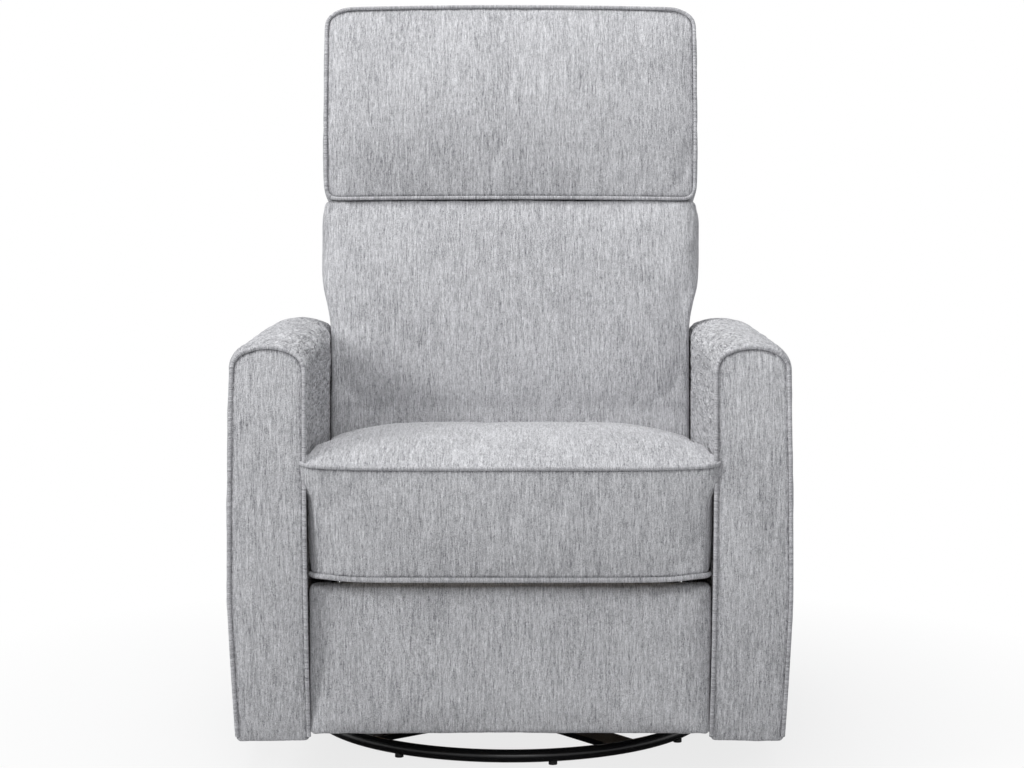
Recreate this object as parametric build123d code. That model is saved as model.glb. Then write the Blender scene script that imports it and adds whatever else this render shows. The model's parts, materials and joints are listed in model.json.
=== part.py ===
from build123d import *
from math import atan2, cos, degrees, hypot, radians, sin
import os

os.makedirs("parts", exist_ok=True)

# A swivel glider recliner, in millimetres. -Y is the front, +Z is up and +X is the right side as
# seen from the front. The origin is on the floor, on the swivel axis.

# ------------------------------------------------------------------ clearances
SHAFT_GAP = 0.05  # radial, round a pin or shaft that turns
FACE_GAP = 0.3  # between faces that pass each other
LINK_GAP = 1.0  # between neighbouring flat links
SOFT_GAP = 3.0  # between the seat and back cushions

# ------------------------------------------------------------------ base and swivel
RING_RADIUS = 283
RING_TUBE = 18
FOOT_COUNT = 8
FOOT_DIAMETER = 12
FOOT_HEIGHT = 4
FOOT_WRAP = 2.5
FOOT_ANGLE = 12
BAR_WIDTH = 45
BAR_THICK = 8
BAR_SEAT = 5
BAR_ANGLE = 38
HUB_RADIUS = 100
HUB_THICK = 4
BEARING_OUTER = 80
BEARING_INNER = 60
BEARING_HEIGHT = 8
KING_RADIUS = 10
KING_TAIL = 2
NUT_SIZE = 18
NUT_HEIGHT = 10

# ------------------------------------------------------------------ glider
GLIDE_PIVOT_Y = 150
GLIDE_TOP_Z = 190
GLIDE_LINK_LENGTH = 120
HANGER_X = 196
PLATE_THICK = 5
LINK_THICK = 4
PIN_RADIUS = 5
LINK_WIDTH = 22
LINK_WALL = 5
UPRIGHT_WIDTH = 36
UPRIGHT_EDGE = 15
FIXED_RAIL_WIDTH = 20
FIXED_RAIL_HEIGHT = 24
CROSS_MEMBER_Y = 80
CROSS_MEMBER_WIDTH = 25
GLIDE_RAIL_LOW = 56
GLIDE_RAIL_HEIGHT = 42
GLIDE_RAIL_END = 25
CARRY_TUBE = 22
CARRY_TUBE_Y = 60
CARRY_TUBE_LOW = 66

# ------------------------------------------------------------------ seat links and seat frame
SEAT_LINK_TOP_Z = 280
SEAT_LINK_LENGTH = 75
SEAT_LINK_FRONT_Y = -140
SEAT_LINK_REAR_Y = 150
RECLINE_UPRIGHT_TOP = 292
SEAT_PLATE_LOW = 190
SEAT_PLATE_HIGH = 345
SEAT_PLATE_FRONT = -366
SEAT_PLATE_REAR = 176
WOOD_LOW = 300
WOOD_SIDE_WIDTH = 24
WOOD_REAR_Y = 60
WOOD_REAR_THICK = 22
WOOD_FRONT_THICK = 25
WOOD_FRONT_LOW = 296
WOOD_FRONT_HIGH = 356
SPRING_WIRE = 3.5
SEAT_SPRING_COUNT = 5
SEAT_SPRING_SPACING = 84
SEAT_SPRING_WIDTH = 56
SEAT_SPRING_TURNS = 11

# ------------------------------------------------------------------ seat cushion
SEAT_FRONT_Y = -425
SEAT_HALF_WIDTH = 267
SEAT_WELT_LOW = 288
SEAT_WELT_HIGH = 434
SEAT_CROWN = 458
SEAT_CROWN_Y = -150
SEAT_SIDE_DROP = 16
SEAT_REAR_Z = 426
SEAT_BASE_Z = 362
SEAT_APRON = 19

# ------------------------------------------------------------------ footrest linkage
DRIVE_PIVOT_Y = -350
DRIVE_PIVOT_Z = 282
DRIVE_REACH = 114  # rearward and downward run of the swinging link, at rest
GROUND_SPACING = 46  # between the drive pivot and the rear link's pivot
RISER_LENGTH = 40  # between the two pivots of the bracket
BRACKET_PIVOT_Y = -352
BRACKET_PIVOT_Z = 247
TORQUE_TUBE_RADIUS = 11
RIVET_RADIUS = 4
BRACKET_TOP = 11
BRACKET_TAIL = 47
FLANGE_THICK = 4
FLANGE_X = 262

# ------------------------------------------------------------------ footrest panel
FOOTREST_HALF_WIDTH = 265
FOOTREST_LOW = 76
FOOTREST_HIGH = 277
FOOTREST_FRONT_Y = -415
FOOTREST_CROWN = 7
FOOTREST_PAD = 32
FOOTREST_BOARD = 13
FOOTREST_BOARD_INSET = 10
FOOTREST_CORNER = 9

# ------------------------------------------------------------------ back
LEAN = 15
BACK_PIVOT_Y = 150
BACK_PIVOT_Z = 300
BACK_TOP = 735  # along the back, from its pivot
HALF_DEPTH = 430  # swivel axis to the rearmost edge of the back
BACK_PIVOT_RADIUS = 7
BACK_FRAME_X = 253
BACK_POST_WIDTH = 24
BACK_POST_DEPTH = 52
BACK_POST_LOW = -10
BACK_PANEL_THICK = 6
BACK_PANEL_LOW = 8
BACK_RAIL_HEIGHT = 35
BACK_RAIL_DEPTH = 34
BACK_BOTTOM_RAIL = 55
BACK_TOP_BORDER = 10
BRACKET_PLATE_TOP = 180
BRACKET_NECK = 45
BACK_SPRING_COUNT = 4
BACK_SPRING_FIRST = 150
BACK_SPRING_SPACING = 140
BACK_SPRING_WIDTH = 50
BACK_SPRING_TURNS = 11
CUSHION_FRONT = 100  # forward of the pivot, square to the back
HEAD_FRONT = 108
HEAD_SEAM_SETBACK = 14
HEAD_TOP_SETBACK = 16
HEAD_TOP_INSET = 2
HEAD_CROWN = 14
LUMBAR_SETBACK = 2
LUMBAR_SEAM_SETBACK = 12
LUMBAR_CROWN_LOW = 8
LUMBAR_CROWN_ARM = 10
LUMBAR_CROWN_WIDE = 12
SEAM_CROWN = 6
SIDE_DRAW = 3  # how far the edges of a cushion's sides draw in
LUMBAR_LOW = 52
HEAD_SEAM = 441
SEAM_GAP = 0.6
BACK_HALF_LOW = 262
BACK_HALF_ARM = 267
BACK_HALF_WIDE = 280
BACK_ARM_LEVEL = 240  # up to here the back passes between the arms
BACK_WIDE_LEVEL = 330
HEAD_CORNER = 24

# ------------------------------------------------------------------ arms
ARM_OUTER = 370
ARM_INNER_LOW = 266
ARM_INNER_HIGH = 270
ARM_BOTTOM = 64
ARM_TOP = 587
ARM_PEAK_OFFSET = 6  # of the top of the arch, outwards from the middle of the arm
ARM_SHOULDER_Z = 572
ARM_SHOULDER_INSET = 11
ARM_STRAIGHT_INNER = 480
ARM_STRAIGHT_OUTER = 520
ARM_FRONT_LOW = -400
ARM_FRONT_BULGE = -430
ARM_FRONT_HIGH = -385
ARM_BULGE_Z = 280
ARM_REAR = 275
ARM_DROP = 27
ARM_PANEL_THICK = 22
ARM_COVER = 16
PLY_THICK = 12
ARM_OUTER_COVER = 30
POST_DEPTH = 30
RAIL_DEPTH = 25
ARM_FRAME_TOP = 545
REAR_RAIL_Y = 245
REAR_RAIL_THICK = 16
REAR_RAIL_LOW = 70
REAR_RAIL_HIGH = 140
REAR_PANEL_THICK = 12
REAR_PANEL_HIGH = 285
REAR_PANEL_LOW = 67

# ------------------------------------------------------------------ places worked out from these
ring_z = FOOT_HEIGHT + RING_TUBE / 2
bar_top = FOOT_HEIGHT + BAR_THICK
hub_top = bar_top + HUB_THICK
turntable_low = hub_top + BEARING_HEIGHT + FACE_GAP
turntable_top = turntable_low + HUB_THICK
fixed_rail_top = turntable_top + FIXED_RAIL_HEIGHT

glide_link_x = HANGER_X + PLATE_THICK + LINK_GAP
carriage_x = glide_link_x + LINK_THICK + LINK_GAP
seat_link_x = carriage_x + PLATE_THICK + LINK_GAP
seat_plate_x = seat_link_x + LINK_THICK + LINK_GAP
rear_link_x = seat_plate_x + PLATE_THICK + LINK_GAP
crank_x = rear_link_x + LINK_THICK + LINK_GAP
drive_x = crank_x + LINK_THICK + LINK_GAP
support_x = drive_x + LINK_THICK + LINK_GAP

glide_low_z = GLIDE_TOP_Z - GLIDE_LINK_LENGTH
glide_rail_top = GLIDE_RAIL_LOW + GLIDE_RAIL_HEIGHT
seat_link_low_z = SEAT_LINK_TOP_Z - SEAT_LINK_LENGTH

drive_pivot = (DRIVE_PIVOT_Y, DRIVE_PIVOT_Z)
rear_pivot = (DRIVE_PIVOT_Y + GROUND_SPACING, DRIVE_PIVOT_Z)
crank_pivot = (DRIVE_PIVOT_Y + DRIVE_REACH, DRIVE_PIVOT_Z - DRIVE_REACH)
crank_rear = (crank_pivot[0] + GROUND_SPACING, crank_pivot[1])
support_low = (crank_pivot[0], crank_pivot[1] - RISER_LENGTH)
bracket_high = (BRACKET_PIVOT_Y, BRACKET_PIVOT_Z)
bracket_low = (BRACKET_PIVOT_Y, BRACKET_PIVOT_Z - RISER_LENGTH)
board_rear = FOOTREST_FRONT_Y + FOOTREST_PAD + FOOTREST_BOARD

lean = radians(LEAN)
back_rear = (HALF_DEPTH - BACK_PIVOT_Y - BACK_TOP * sin(lean)) / cos(lean)
frame_rear = back_rear - BACK_PANEL_THICK
frame_front = frame_rear - BACK_POST_DEPTH
cushion_rear = frame_front - SPRING_WIRE - FACE_GAP
back_place = Pos(0, BACK_PIVOT_Y, BACK_PIVOT_Z) * Rot(X=-LEAN)
seat_front_wood = SEAT_FRONT_Y + SEAT_APRON + FACE_GAP
arm_slope = ARM_DROP / (ARM_REAR - ARM_FRONT_HIGH)
arm_peak_x = (ARM_INNER_HIGH + ARM_OUTER) / 2 + ARM_PEAK_OFFSET
ply_x = ARM_INNER_HIGH + ARM_SHOULDER_INSET


# ------------------------------------------------------------------ helpers
def save(node, *shapes):
    """Write one node: each solid of the given shapes is a separate piece of it."""
    solids = [solid for shape in shapes for solid in shape.solids()]
    whole = solids[0] if len(solids) == 1 else Compound(solids)
    export_step(whole, f"parts/{node}.step")


def block(x_range, y_range, z_range):
    """A rectangular block between two values on each axis."""
    spans = (x_range, y_range, z_range)
    middle = [(low + high) / 2 for low, high in spans]
    return Pos(*middle) * Box(*[high - low for low, high in spans])


def pin(x_low, x_high, place, radius):
    """A round pin along X at the given (y, z)."""
    return Pos((x_low + x_high) / 2, *place) * Rot(Y=90) * Cylinder(radius, x_high - x_low)


def plate(x_low, thickness, outline):
    """A flat plate square to X, whose outline is drawn in Y and Z."""
    return Pos(x_low, 0, 0) * extrude(Plane.YZ * outline, thickness)


def strap(x_low, places, hole_radii, width=LINK_WIDTH, thickness=LINK_THICK):
    """A flat link through the given (y, z) places, rounded at its ends, with a hole at each."""
    outline = Sketch()
    for place, radius in zip(places, hole_radii):
        outline += Pos(*place) * Circle(max(width / 2, radius + LINK_WALL))
    for (y0, z0), (y1, z1) in zip(places, places[1:]):
        run = Rectangle(hypot(y1 - y0, z1 - z0), width)
        angle = degrees(atan2(z1 - z0, y1 - y0))
        outline += Pos((y0 + y1) / 2, (z0 + z1) / 2) * Rot(Z=angle) * run
    for place, radius in zip(places, hole_radii):
        if radius:
            outline -= Pos(*place) * Circle(radius)
    return plate(x_low, thickness, outline)


def pair(shape):
    """A right-hand piece and its mirror image on the left."""
    return [shape, mirror(shape, about=Plane.YZ)]


def polygon(*points):
    """A face from straight edges between the given points."""
    return make_face(Polyline(*points, close=True))


def zigzag_spring(length, width, turns):
    """One unbroken zigzag wire along +Y, in the XY plane: straight legs joined by half turns."""
    pitch = length / turns
    reach = (width - pitch) / 2
    edges = []
    side = -1
    for turn in range(turns + 1):
        y = turn * pitch
        edges.append(Line((side * reach, y), (-side * reach, y)))
        side = -side
        if turn < turns:
            bend = (side * (reach + pitch / 2), y + pitch / 2)
            edges.append(ThreePointArc((side * reach, y), bend, (side * reach, y + pitch)))
    path = Wire([edge for line in edges for edge in line.edges()])
    start = Plane(origin=(-reach, 0, 0), z_dir=(1, 0, 0))
    print("zigzag spring: least gap between legs", round(pitch - SPRING_WIRE, 1), "mm")
    return sweep(start * Circle(SPRING_WIRE / 2), path=path)


# ------------------------------------------------------------------ base
def base_pieces():
    """Ring of round tube on small feet, with two flat bars crossing inside it."""
    ring = Pos(0, 0, ring_z) * Torus(RING_RADIUS, RING_TUBE / 2)
    feet = []
    for index in range(FOOT_COUNT):
        turn = Rot(Z=FOOT_ANGLE + index * 360 / FOOT_COUNT)
        height = FOOT_HEIGHT + FOOT_WRAP
        foot = turn * Pos(0, -RING_RADIUS, height / 2) * Cylinder(FOOT_DIAMETER / 2, height)
        feet.append(foot - ring)
    reach = RING_RADIUS - BAR_SEAT
    bar = Pos(0, 0, FOOT_HEIGHT + BAR_THICK / 2) * Box(BAR_WIDTH, 2 * reach, BAR_THICK)
    long_bar = Rot(Z=BAR_ANGLE) * bar
    short_bars = Rot(Z=BAR_ANGLE + 90) * bar - long_bar - ring
    save("base_ring", ring)
    save("base_feet", *feet)
    save("base_cross_bar_long", long_bar - ring)
    save("base_cross_bar_short", short_bars)


def swivel_pieces():
    """Hub plate, bearing ring and king bolt below, and the plate that turns on them."""
    king_top = turntable_top + FACE_GAP + NUT_HEIGHT + KING_TAIL
    bolt = Pos(0, 0, (bar_top + king_top) / 2) * Cylinder(KING_RADIUS, king_top - bar_top)
    hub = Pos(0, 0, bar_top + HUB_THICK / 2) * Cylinder(HUB_RADIUS, HUB_THICK)
    race = Pos(0, 0, hub_top + BEARING_HEIGHT / 2)
    bearing = race * (Cylinder(BEARING_OUTER, BEARING_HEIGHT) - Cylinder(BEARING_INNER, BEARING_HEIGHT))
    turntable = Pos(0, 0, turntable_low + HUB_THICK / 2) * (
        Cylinder(HUB_RADIUS, HUB_THICK) - Cylinder(KING_RADIUS + SHAFT_GAP, HUB_THICK)
    )
    nut_low = turntable_top + FACE_GAP
    nut = Pos(0, 0, nut_low) * extrude(RegularPolygon(NUT_SIZE, 6) - Circle(KING_RADIUS), NUT_HEIGHT)
    save("king_bolt", bolt)
    save("lower_swivel_plate", hub - bolt)
    save("swivel_bearing", bearing)
    save("upper_swivel_plate", turntable)
    save("king_nut", nut)


# ------------------------------------------------------------------ glider
def fixed_glider_pieces():
    """Rails and uprights that turn with the swivel plate and hold the top of the glide links."""
    rail_inner = HANGER_X - FIXED_RAIL_WIDTH
    rail_end = GLIDE_PIVOT_Y + UPRIGHT_WIDTH / 2
    heights = (turntable_top, fixed_rail_top)
    rail = block((rail_inner, HANGER_X), (-rail_end, rail_end), heights)
    half = CROSS_MEMBER_WIDTH / 2
    members = []
    uprights = []
    pins = []
    for y in (-CROSS_MEMBER_Y, CROSS_MEMBER_Y):
        members.append(block((-rail_inner, rail_inner), (y - half, y + half), heights))
    for y in (-GLIDE_PIVOT_Y, GLIDE_PIVOT_Y):
        top = GLIDE_TOP_Z + UPRIGHT_EDGE
        span = (y - UPRIGHT_WIDTH / 2, y + UPRIGHT_WIDTH / 2)
        bare = block((HANGER_X, HANGER_X + PLATE_THICK), span, (turntable_top, top))
        shaft = pin(HANGER_X, carriage_x - FACE_GAP, (y, GLIDE_TOP_Z), PIN_RADIUS)
        uprights += pair(bare - shaft)
        pins += pair(shaft)
    save("glider_side_rails", *pair(rail))
    save("glider_cross_members", *members)
    save("glider_uprights", *uprights)
    save("glider_top_pins", *pins)


def glide_link_pieces():
    """Hanging links, two in front and two behind."""
    running = PIN_RADIUS + SHAFT_GAP
    for name, y in (("front", -GLIDE_PIVOT_Y), ("rear", GLIDE_PIVOT_Y)):
        link = strap(glide_link_x, [(y, GLIDE_TOP_Z), (y, glide_low_z)], [running, running])
        save(f"glide_links_{name}", *pair(link))


def carry_tubes():
    """Square cross tubes that join the gliding rails to both arms."""
    half = CARRY_TUBE / 2
    heights = (CARRY_TUBE_LOW, CARRY_TUBE_LOW + CARRY_TUBE)
    return [
        block((-ply_x, ply_x), (y - half, y + half), heights) for y in (-CARRY_TUBE_Y, CARRY_TUBE_Y)
    ]


def carriage_pieces():
    """Gliding rails on the lower pins, with uprights that hold the top of the seat links."""
    rail_end = GLIDE_PIVOT_Y + GLIDE_RAIL_END
    thick = (carriage_x, carriage_x + PLATE_THICK)
    rail = block(thick, (-rail_end, rail_end), (GLIDE_RAIL_LOW, glide_rail_top))
    low_pins = []
    for y in (-GLIDE_PIVOT_Y, GLIDE_PIVOT_Y):
        shaft = pin(glide_link_x - LINK_GAP + FACE_GAP, thick[1], (y, glide_low_z), PIN_RADIUS)
        rail -= shaft
        low_pins += pair(shaft)
    for tube in carry_tubes():
        rail -= tube
    uprights = []
    top_pins = []
    for y in (SEAT_LINK_FRONT_Y, SEAT_LINK_REAR_Y):
        span = (y - UPRIGHT_WIDTH / 2, y + UPRIGHT_WIDTH / 2)
        shaft = pin(thick[0], seat_plate_x - FACE_GAP, (y, SEAT_LINK_TOP_Z), PIN_RADIUS)
        uprights += pair(block(thick, span, (glide_rail_top, RECLINE_UPRIGHT_TOP)) - shaft)
        top_pins += pair(shaft)
    right, left = pair(rail)
    save("glide_rail_right", right)
    save("glide_rail_left", left)
    save("glide_lower_pins", *low_pins)
    save("carriage_cross_tubes", *carry_tubes())
    save("recline_uprights", *uprights)
    save("recline_top_pins", *top_pins)


# ------------------------------------------------------------------ arms
def arm_section():
    """Outline of the right arm in X and Z, drawn low enough for its slanting run."""
    foot_z = ARM_BOTTOM - ARM_DROP
    inner_high = (ARM_INNER_HIGH, ARM_STRAIGHT_INNER)
    inner_shoulder = (ARM_INNER_HIGH + ARM_SHOULDER_INSET, ARM_SHOULDER_Z)
    outer_shoulder = (ARM_OUTER - ARM_SHOULDER_INSET / 2, ARM_SHOULDER_Z)
    outer_high = (ARM_OUTER, ARM_STRAIGHT_OUTER)
    inner_mid = (ARM_INNER_HIGH + ARM_SHOULDER_INSET / 4, (ARM_STRAIGHT_INNER + ARM_SHOULDER_Z) / 2)
    outer_mid = (ARM_OUTER - ARM_SHOULDER_INSET / 8, (ARM_STRAIGHT_OUTER + ARM_SHOULDER_Z) / 2)
    edges = [
        Line((ARM_INNER_LOW, foot_z), inner_high),
        ThreePointArc(inner_high, inner_mid, inner_shoulder),
        ThreePointArc(inner_shoulder, (arm_peak_x, ARM_TOP), outer_shoulder),
        ThreePointArc(outer_shoulder, outer_mid, outer_high),
        Line(outer_high, (ARM_OUTER, foot_z)),
        Line((ARM_OUTER, foot_z), (ARM_INNER_LOW, foot_z)),
    ]
    return make_face(edges)


def arm_side(setback):
    """Side outline of the arm in Y and Z, with its scooped front set back by a given depth."""
    high = ARM_TOP + ARM_DROP
    low_front = (ARM_FRONT_LOW + setback, ARM_BOTTOM)
    bulge = (ARM_FRONT_BULGE + setback, ARM_BULGE_Z)
    high_front = (ARM_FRONT_HIGH + setback, ARM_TOP)
    edges = [
        Line((ARM_REAR, ARM_BOTTOM), low_front),
        TangentArc(bulge, low_front, tangent=(0, -1)),
        TangentArc(bulge, high_front, tangent=(0, 1)),
        Line(high_front, (high_front[0], high)),
        Line((high_front[0], high), (ARM_REAR, high)),
        Line((ARM_REAR, high), (ARM_REAR, ARM_BOTTOM)),
    ]
    return plate(0, ARM_OUTER * 2, make_face(edges))


def arm_frame():
    """Plywood inner panel, and the posts and rails glued to it, of the right arm."""
    low = ARM_BOTTOM + ARM_COVER
    front = ARM_FRONT_HIGH + ARM_PANEL_THICK + ARM_COVER
    rear = ARM_REAR - ARM_COVER
    outer = (ply_x + PLY_THICK, ARM_OUTER - ARM_OUTER_COVER)
    between = (front + POST_DEPTH, rear - POST_DEPTH)
    panel = block((ply_x, outer[0]), (front, rear), (low, ARM_FRAME_TOP))
    timbers = [
        block(outer, (front, between[0]), (low, ARM_FRAME_TOP)),
        block(outer, (between[1], rear), (low, ARM_FRAME_TOP)),
        block(outer, between, (ARM_FRAME_TOP - RAIL_DEPTH, ARM_FRAME_TOP)),
        block(outer, between, (low, low + RAIL_DEPTH)),
    ]
    return panel, timbers


def rear_rail():
    """Wooden rail across the back of the chair, between the two arms."""
    span = (REAR_RAIL_Y, REAR_RAIL_Y + REAR_RAIL_THICK)
    return block((-ply_x, ply_x), span, (REAR_RAIL_LOW, REAR_RAIL_HIGH))


def arm_pieces():
    """Both arms: timber frame, padded cover and padded front panel."""
    run = ARM_REAR - ARM_FRONT_BULGE + ARM_PANEL_THICK
    start = ARM_FRONT_BULGE - ARM_PANEL_THICK / 2
    lift = arm_slope * (ARM_FRONT_HIGH - start)
    section = Pos(0, start, lift) * (Plane.XZ * arm_section())
    body = extrude(section, amount=run * hypot(1, arm_slope), dir=(0, 1, -arm_slope))
    panel, timbers = arm_frame()
    pad = body & arm_side(ARM_PANEL_THICK)
    front = (body & arm_side(0)) - arm_side(ARM_PANEL_THICK)
    for inner in [panel, rear_rail()] + timbers + carry_tubes():
        pad -= inner
    for side, index in (("right", 0), ("left", 1)):
        save(f"arm_{side}_cover", pair(pad)[index])
        save(f"arm_{side}_front_panel", pair(front)[index])
        save(f"arm_{side}_inner_panel", pair(panel)[index])
        save(f"arm_{side}_timbers", *[pair(timber)[index] for timber in timbers])


def rear_pieces():
    """Rail between the arms and the padded panel that closes the gap under the back."""
    low_y = REAR_RAIL_Y + REAR_RAIL_THICK
    half = ARM_INNER_LOW - SOFT_GAP
    heights = (REAR_PANEL_LOW, REAR_PANEL_HIGH)
    save("rear_rail", rear_rail())
    save("rear_lower_panel", block((-half, half), (low_y, low_y + REAR_PANEL_THICK), heights))


# ------------------------------------------------------------------ seat
def seat_link_pieces():
    """Links that hang the seat from the gliding frame and let it move forward."""
    running = PIN_RADIUS + SHAFT_GAP
    for name, y in (("front", SEAT_LINK_FRONT_Y), ("rear", SEAT_LINK_REAR_Y)):
        places = [(y, SEAT_LINK_TOP_Z), (y, seat_link_low_z)]
        save(f"seat_links_{name}", *pair(strap(seat_link_x, places, [running, running])))


def seat_plate_pieces():
    """Steel side plates of the seat, with the fixed pins that they carry."""
    outline = polygon(
        (SEAT_PLATE_FRONT, SEAT_PLATE_LOW),
        (SEAT_PLATE_REAR, SEAT_PLATE_LOW),
        (SEAT_PLATE_REAR, SEAT_PLATE_HIGH),
        (SEAT_PLATE_FRONT, SEAT_PLATE_HIGH),
    )
    outline -= Pos(*drive_pivot) * Circle(TORQUE_TUBE_RADIUS + SHAFT_GAP)
    body = plate(seat_plate_x, PLATE_THICK, outline)
    outer = seat_plate_x + PLATE_THICK
    inner = seat_link_x - LINK_GAP + FACE_GAP
    shafts = [pin(seat_plate_x, crank_x - FACE_GAP, rear_pivot, RIVET_RADIUS)]
    for y in (SEAT_LINK_FRONT_Y, SEAT_LINK_REAR_Y):
        shafts.append(pin(inner, outer, (y, seat_link_low_z), PIN_RADIUS))
    back_pin_end = outer + LINK_GAP + PLATE_THICK
    back_pivot = (BACK_PIVOT_Y, BACK_PIVOT_Z)
    shafts.append(pin(seat_plate_x, back_pin_end, back_pivot, BACK_PIVOT_RADIUS))
    for shaft in shafts:
        body -= shaft
    right, left = pair(body)
    save("seat_side_plate_right", right)
    save("seat_side_plate_left", left)
    save("seat_plate_pins", *[piece for shaft in shafts for piece in pair(shaft)])


def seat_box_pieces():
    """Wooden seat box and the zigzag springs across it."""
    inner = seat_plate_x - WOOD_SIDE_WIDTH
    front_rear = seat_front_wood + WOOD_FRONT_THICK
    rear_end = WOOD_REAR_Y + WOOD_REAR_THICK
    side = block((inner, seat_plate_x), (front_rear, rear_end), (WOOD_LOW, SEAT_PLATE_HIGH))
    rear = block((-inner, inner), (WOOD_REAR_Y, rear_end), (WOOD_LOW, WOOD_FRONT_HIGH))
    front = block(
        (-seat_plate_x, seat_plate_x), (seat_front_wood, front_rear), (WOOD_FRONT_LOW, WOOD_FRONT_HIGH)
    )
    length = (WOOD_REAR_Y + WOOD_REAR_THICK / 2) - (seat_front_wood + WOOD_FRONT_THICK / 2)
    spring = zigzag_spring(length, SEAT_SPRING_WIDTH, SEAT_SPRING_TURNS)
    height = WOOD_FRONT_HIGH + SPRING_WIRE / 2
    start_y = seat_front_wood + WOOD_FRONT_THICK / 2
    middle = (SEAT_SPRING_COUNT - 1) / 2
    springs = [
        Pos((index - middle) * SEAT_SPRING_SPACING, start_y, height) * spring
        for index in range(SEAT_SPRING_COUNT)
    ]
    save("seat_side_rails", *pair(side))
    save("seat_cross_rails", front, rear)
    save("seat_springs", *springs)


def seat_profile(crown_drop):
    """Side outline of the seat cushion in Y and Z, its crown lowered by a given amount."""
    low_rear = SEAT_FRONT_Y + SEAT_APRON
    rear_low = back_front_y(SEAT_BASE_Z) - SOFT_GAP
    rear_high = back_front_y(SEAT_REAR_Z) - SOFT_GAP
    welt = (SEAT_FRONT_Y, SEAT_WELT_HIGH)
    crown = (SEAT_CROWN_Y, SEAT_CROWN - crown_drop)
    rear_top = (rear_high, SEAT_REAR_Z - crown_drop / 4)
    edges = [
        Line((SEAT_FRONT_Y, SEAT_WELT_LOW), welt),
        ThreePointArc(welt, crown, rear_top),
        Line(rear_top, (rear_low, SEAT_BASE_Z)),
        Line((rear_low, SEAT_BASE_Z), (low_rear, SEAT_BASE_Z)),
        Line((low_rear, SEAT_BASE_Z), (low_rear, SEAT_WELT_LOW)),
        Line((low_rear, SEAT_WELT_LOW), (SEAT_FRONT_Y, SEAT_WELT_LOW)),
    ]
    return make_face(edges)


def back_front_y(z):
    """Y of the back's front face at a given height, where the seat cushion meets it."""
    along = (z - BACK_PIVOT_Z - CUSHION_FRONT * sin(lean)) / cos(lean)
    return BACK_PIVOT_Y + along * sin(lean) - CUSHION_FRONT * cos(lean)


def seat_cushion_piece():
    """Boxed seat cushion with a crowned top and an apron down its front."""
    sections = []
    for x, drop in ((-SEAT_HALF_WIDTH, SEAT_SIDE_DROP), (0, 0), (SEAT_HALF_WIDTH, SEAT_SIDE_DROP)):
        sections.append(Pos(x, 0, 0) * (Plane.YZ * seat_profile(drop)))
    save("seat_cushion", loft(sections))


# ------------------------------------------------------------------ footrest
def footrest_link_pieces():
    """Two parallel-link loops on each side, which swing the footrest out and turn it level."""
    running = RIVET_RADIUS + SHAFT_GAP
    drive_outer = drive_x + LINK_THICK
    tube = pin(-drive_outer, drive_outer, drive_pivot, TORQUE_TUBE_RADIUS)
    drive = strap(
        drive_x, [drive_pivot, crank_pivot, support_low], [TORQUE_TUBE_RADIUS, RIVET_RADIUS, RIVET_RADIUS]
    )
    crank_rivet = pin(crank_x, drive_outer, crank_pivot, RIVET_RADIUS)
    support_rivet = pin(drive_x, support_x + LINK_THICK, support_low, RIVET_RADIUS)
    rear = strap(rear_link_x, [rear_pivot, crank_rear], [running, running])
    crank = strap(crank_x, [crank_rear, crank_pivot, bracket_high], [RIVET_RADIUS, running, running])
    rear_rivet = pin(rear_link_x, crank_x + LINK_THICK, crank_rear, RIVET_RADIUS)
    support = strap(support_x, [support_low, bracket_low], [running, running])
    save("footrest_torque_tube", tube)
    save("footrest_drive_links", *pair(drive))
    save("drive_link_rivets", *pair(crank_rivet), *pair(support_rivet))
    save("footrest_rear_links", *pair(rear))
    save("footrest_bell_cranks", *pair(crank))
    save("bell_crank_rivets", *pair(rear_rivet))
    save("footrest_support_links", *pair(support))


def footrest_bracket_pieces():
    """Angle brackets on the back of the footrest board, with their rivets."""
    web = strap(drive_x, [bracket_high, bracket_low], [0, 0])
    heights = (bracket_low[1] - BRACKET_TAIL, BRACKET_PIVOT_Z + BRACKET_TOP)
    flange_y = (board_rear, board_rear + FLANGE_THICK)
    web += block((drive_x, drive_x + LINK_THICK), (board_rear, BRACKET_PIVOT_Y), heights)
    bracket = web + block((drive_x, FLANGE_X - LINK_GAP), flange_y, heights)
    high = pin(crank_x, drive_x + LINK_THICK, bracket_high, RIVET_RADIUS)
    low = pin(drive_x, support_x + LINK_THICK, bracket_low, RIVET_RADIUS)
    save("footrest_brackets", *pair(bracket - high - low))
    save("bracket_rivets", *pair(high), *pair(low))


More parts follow.
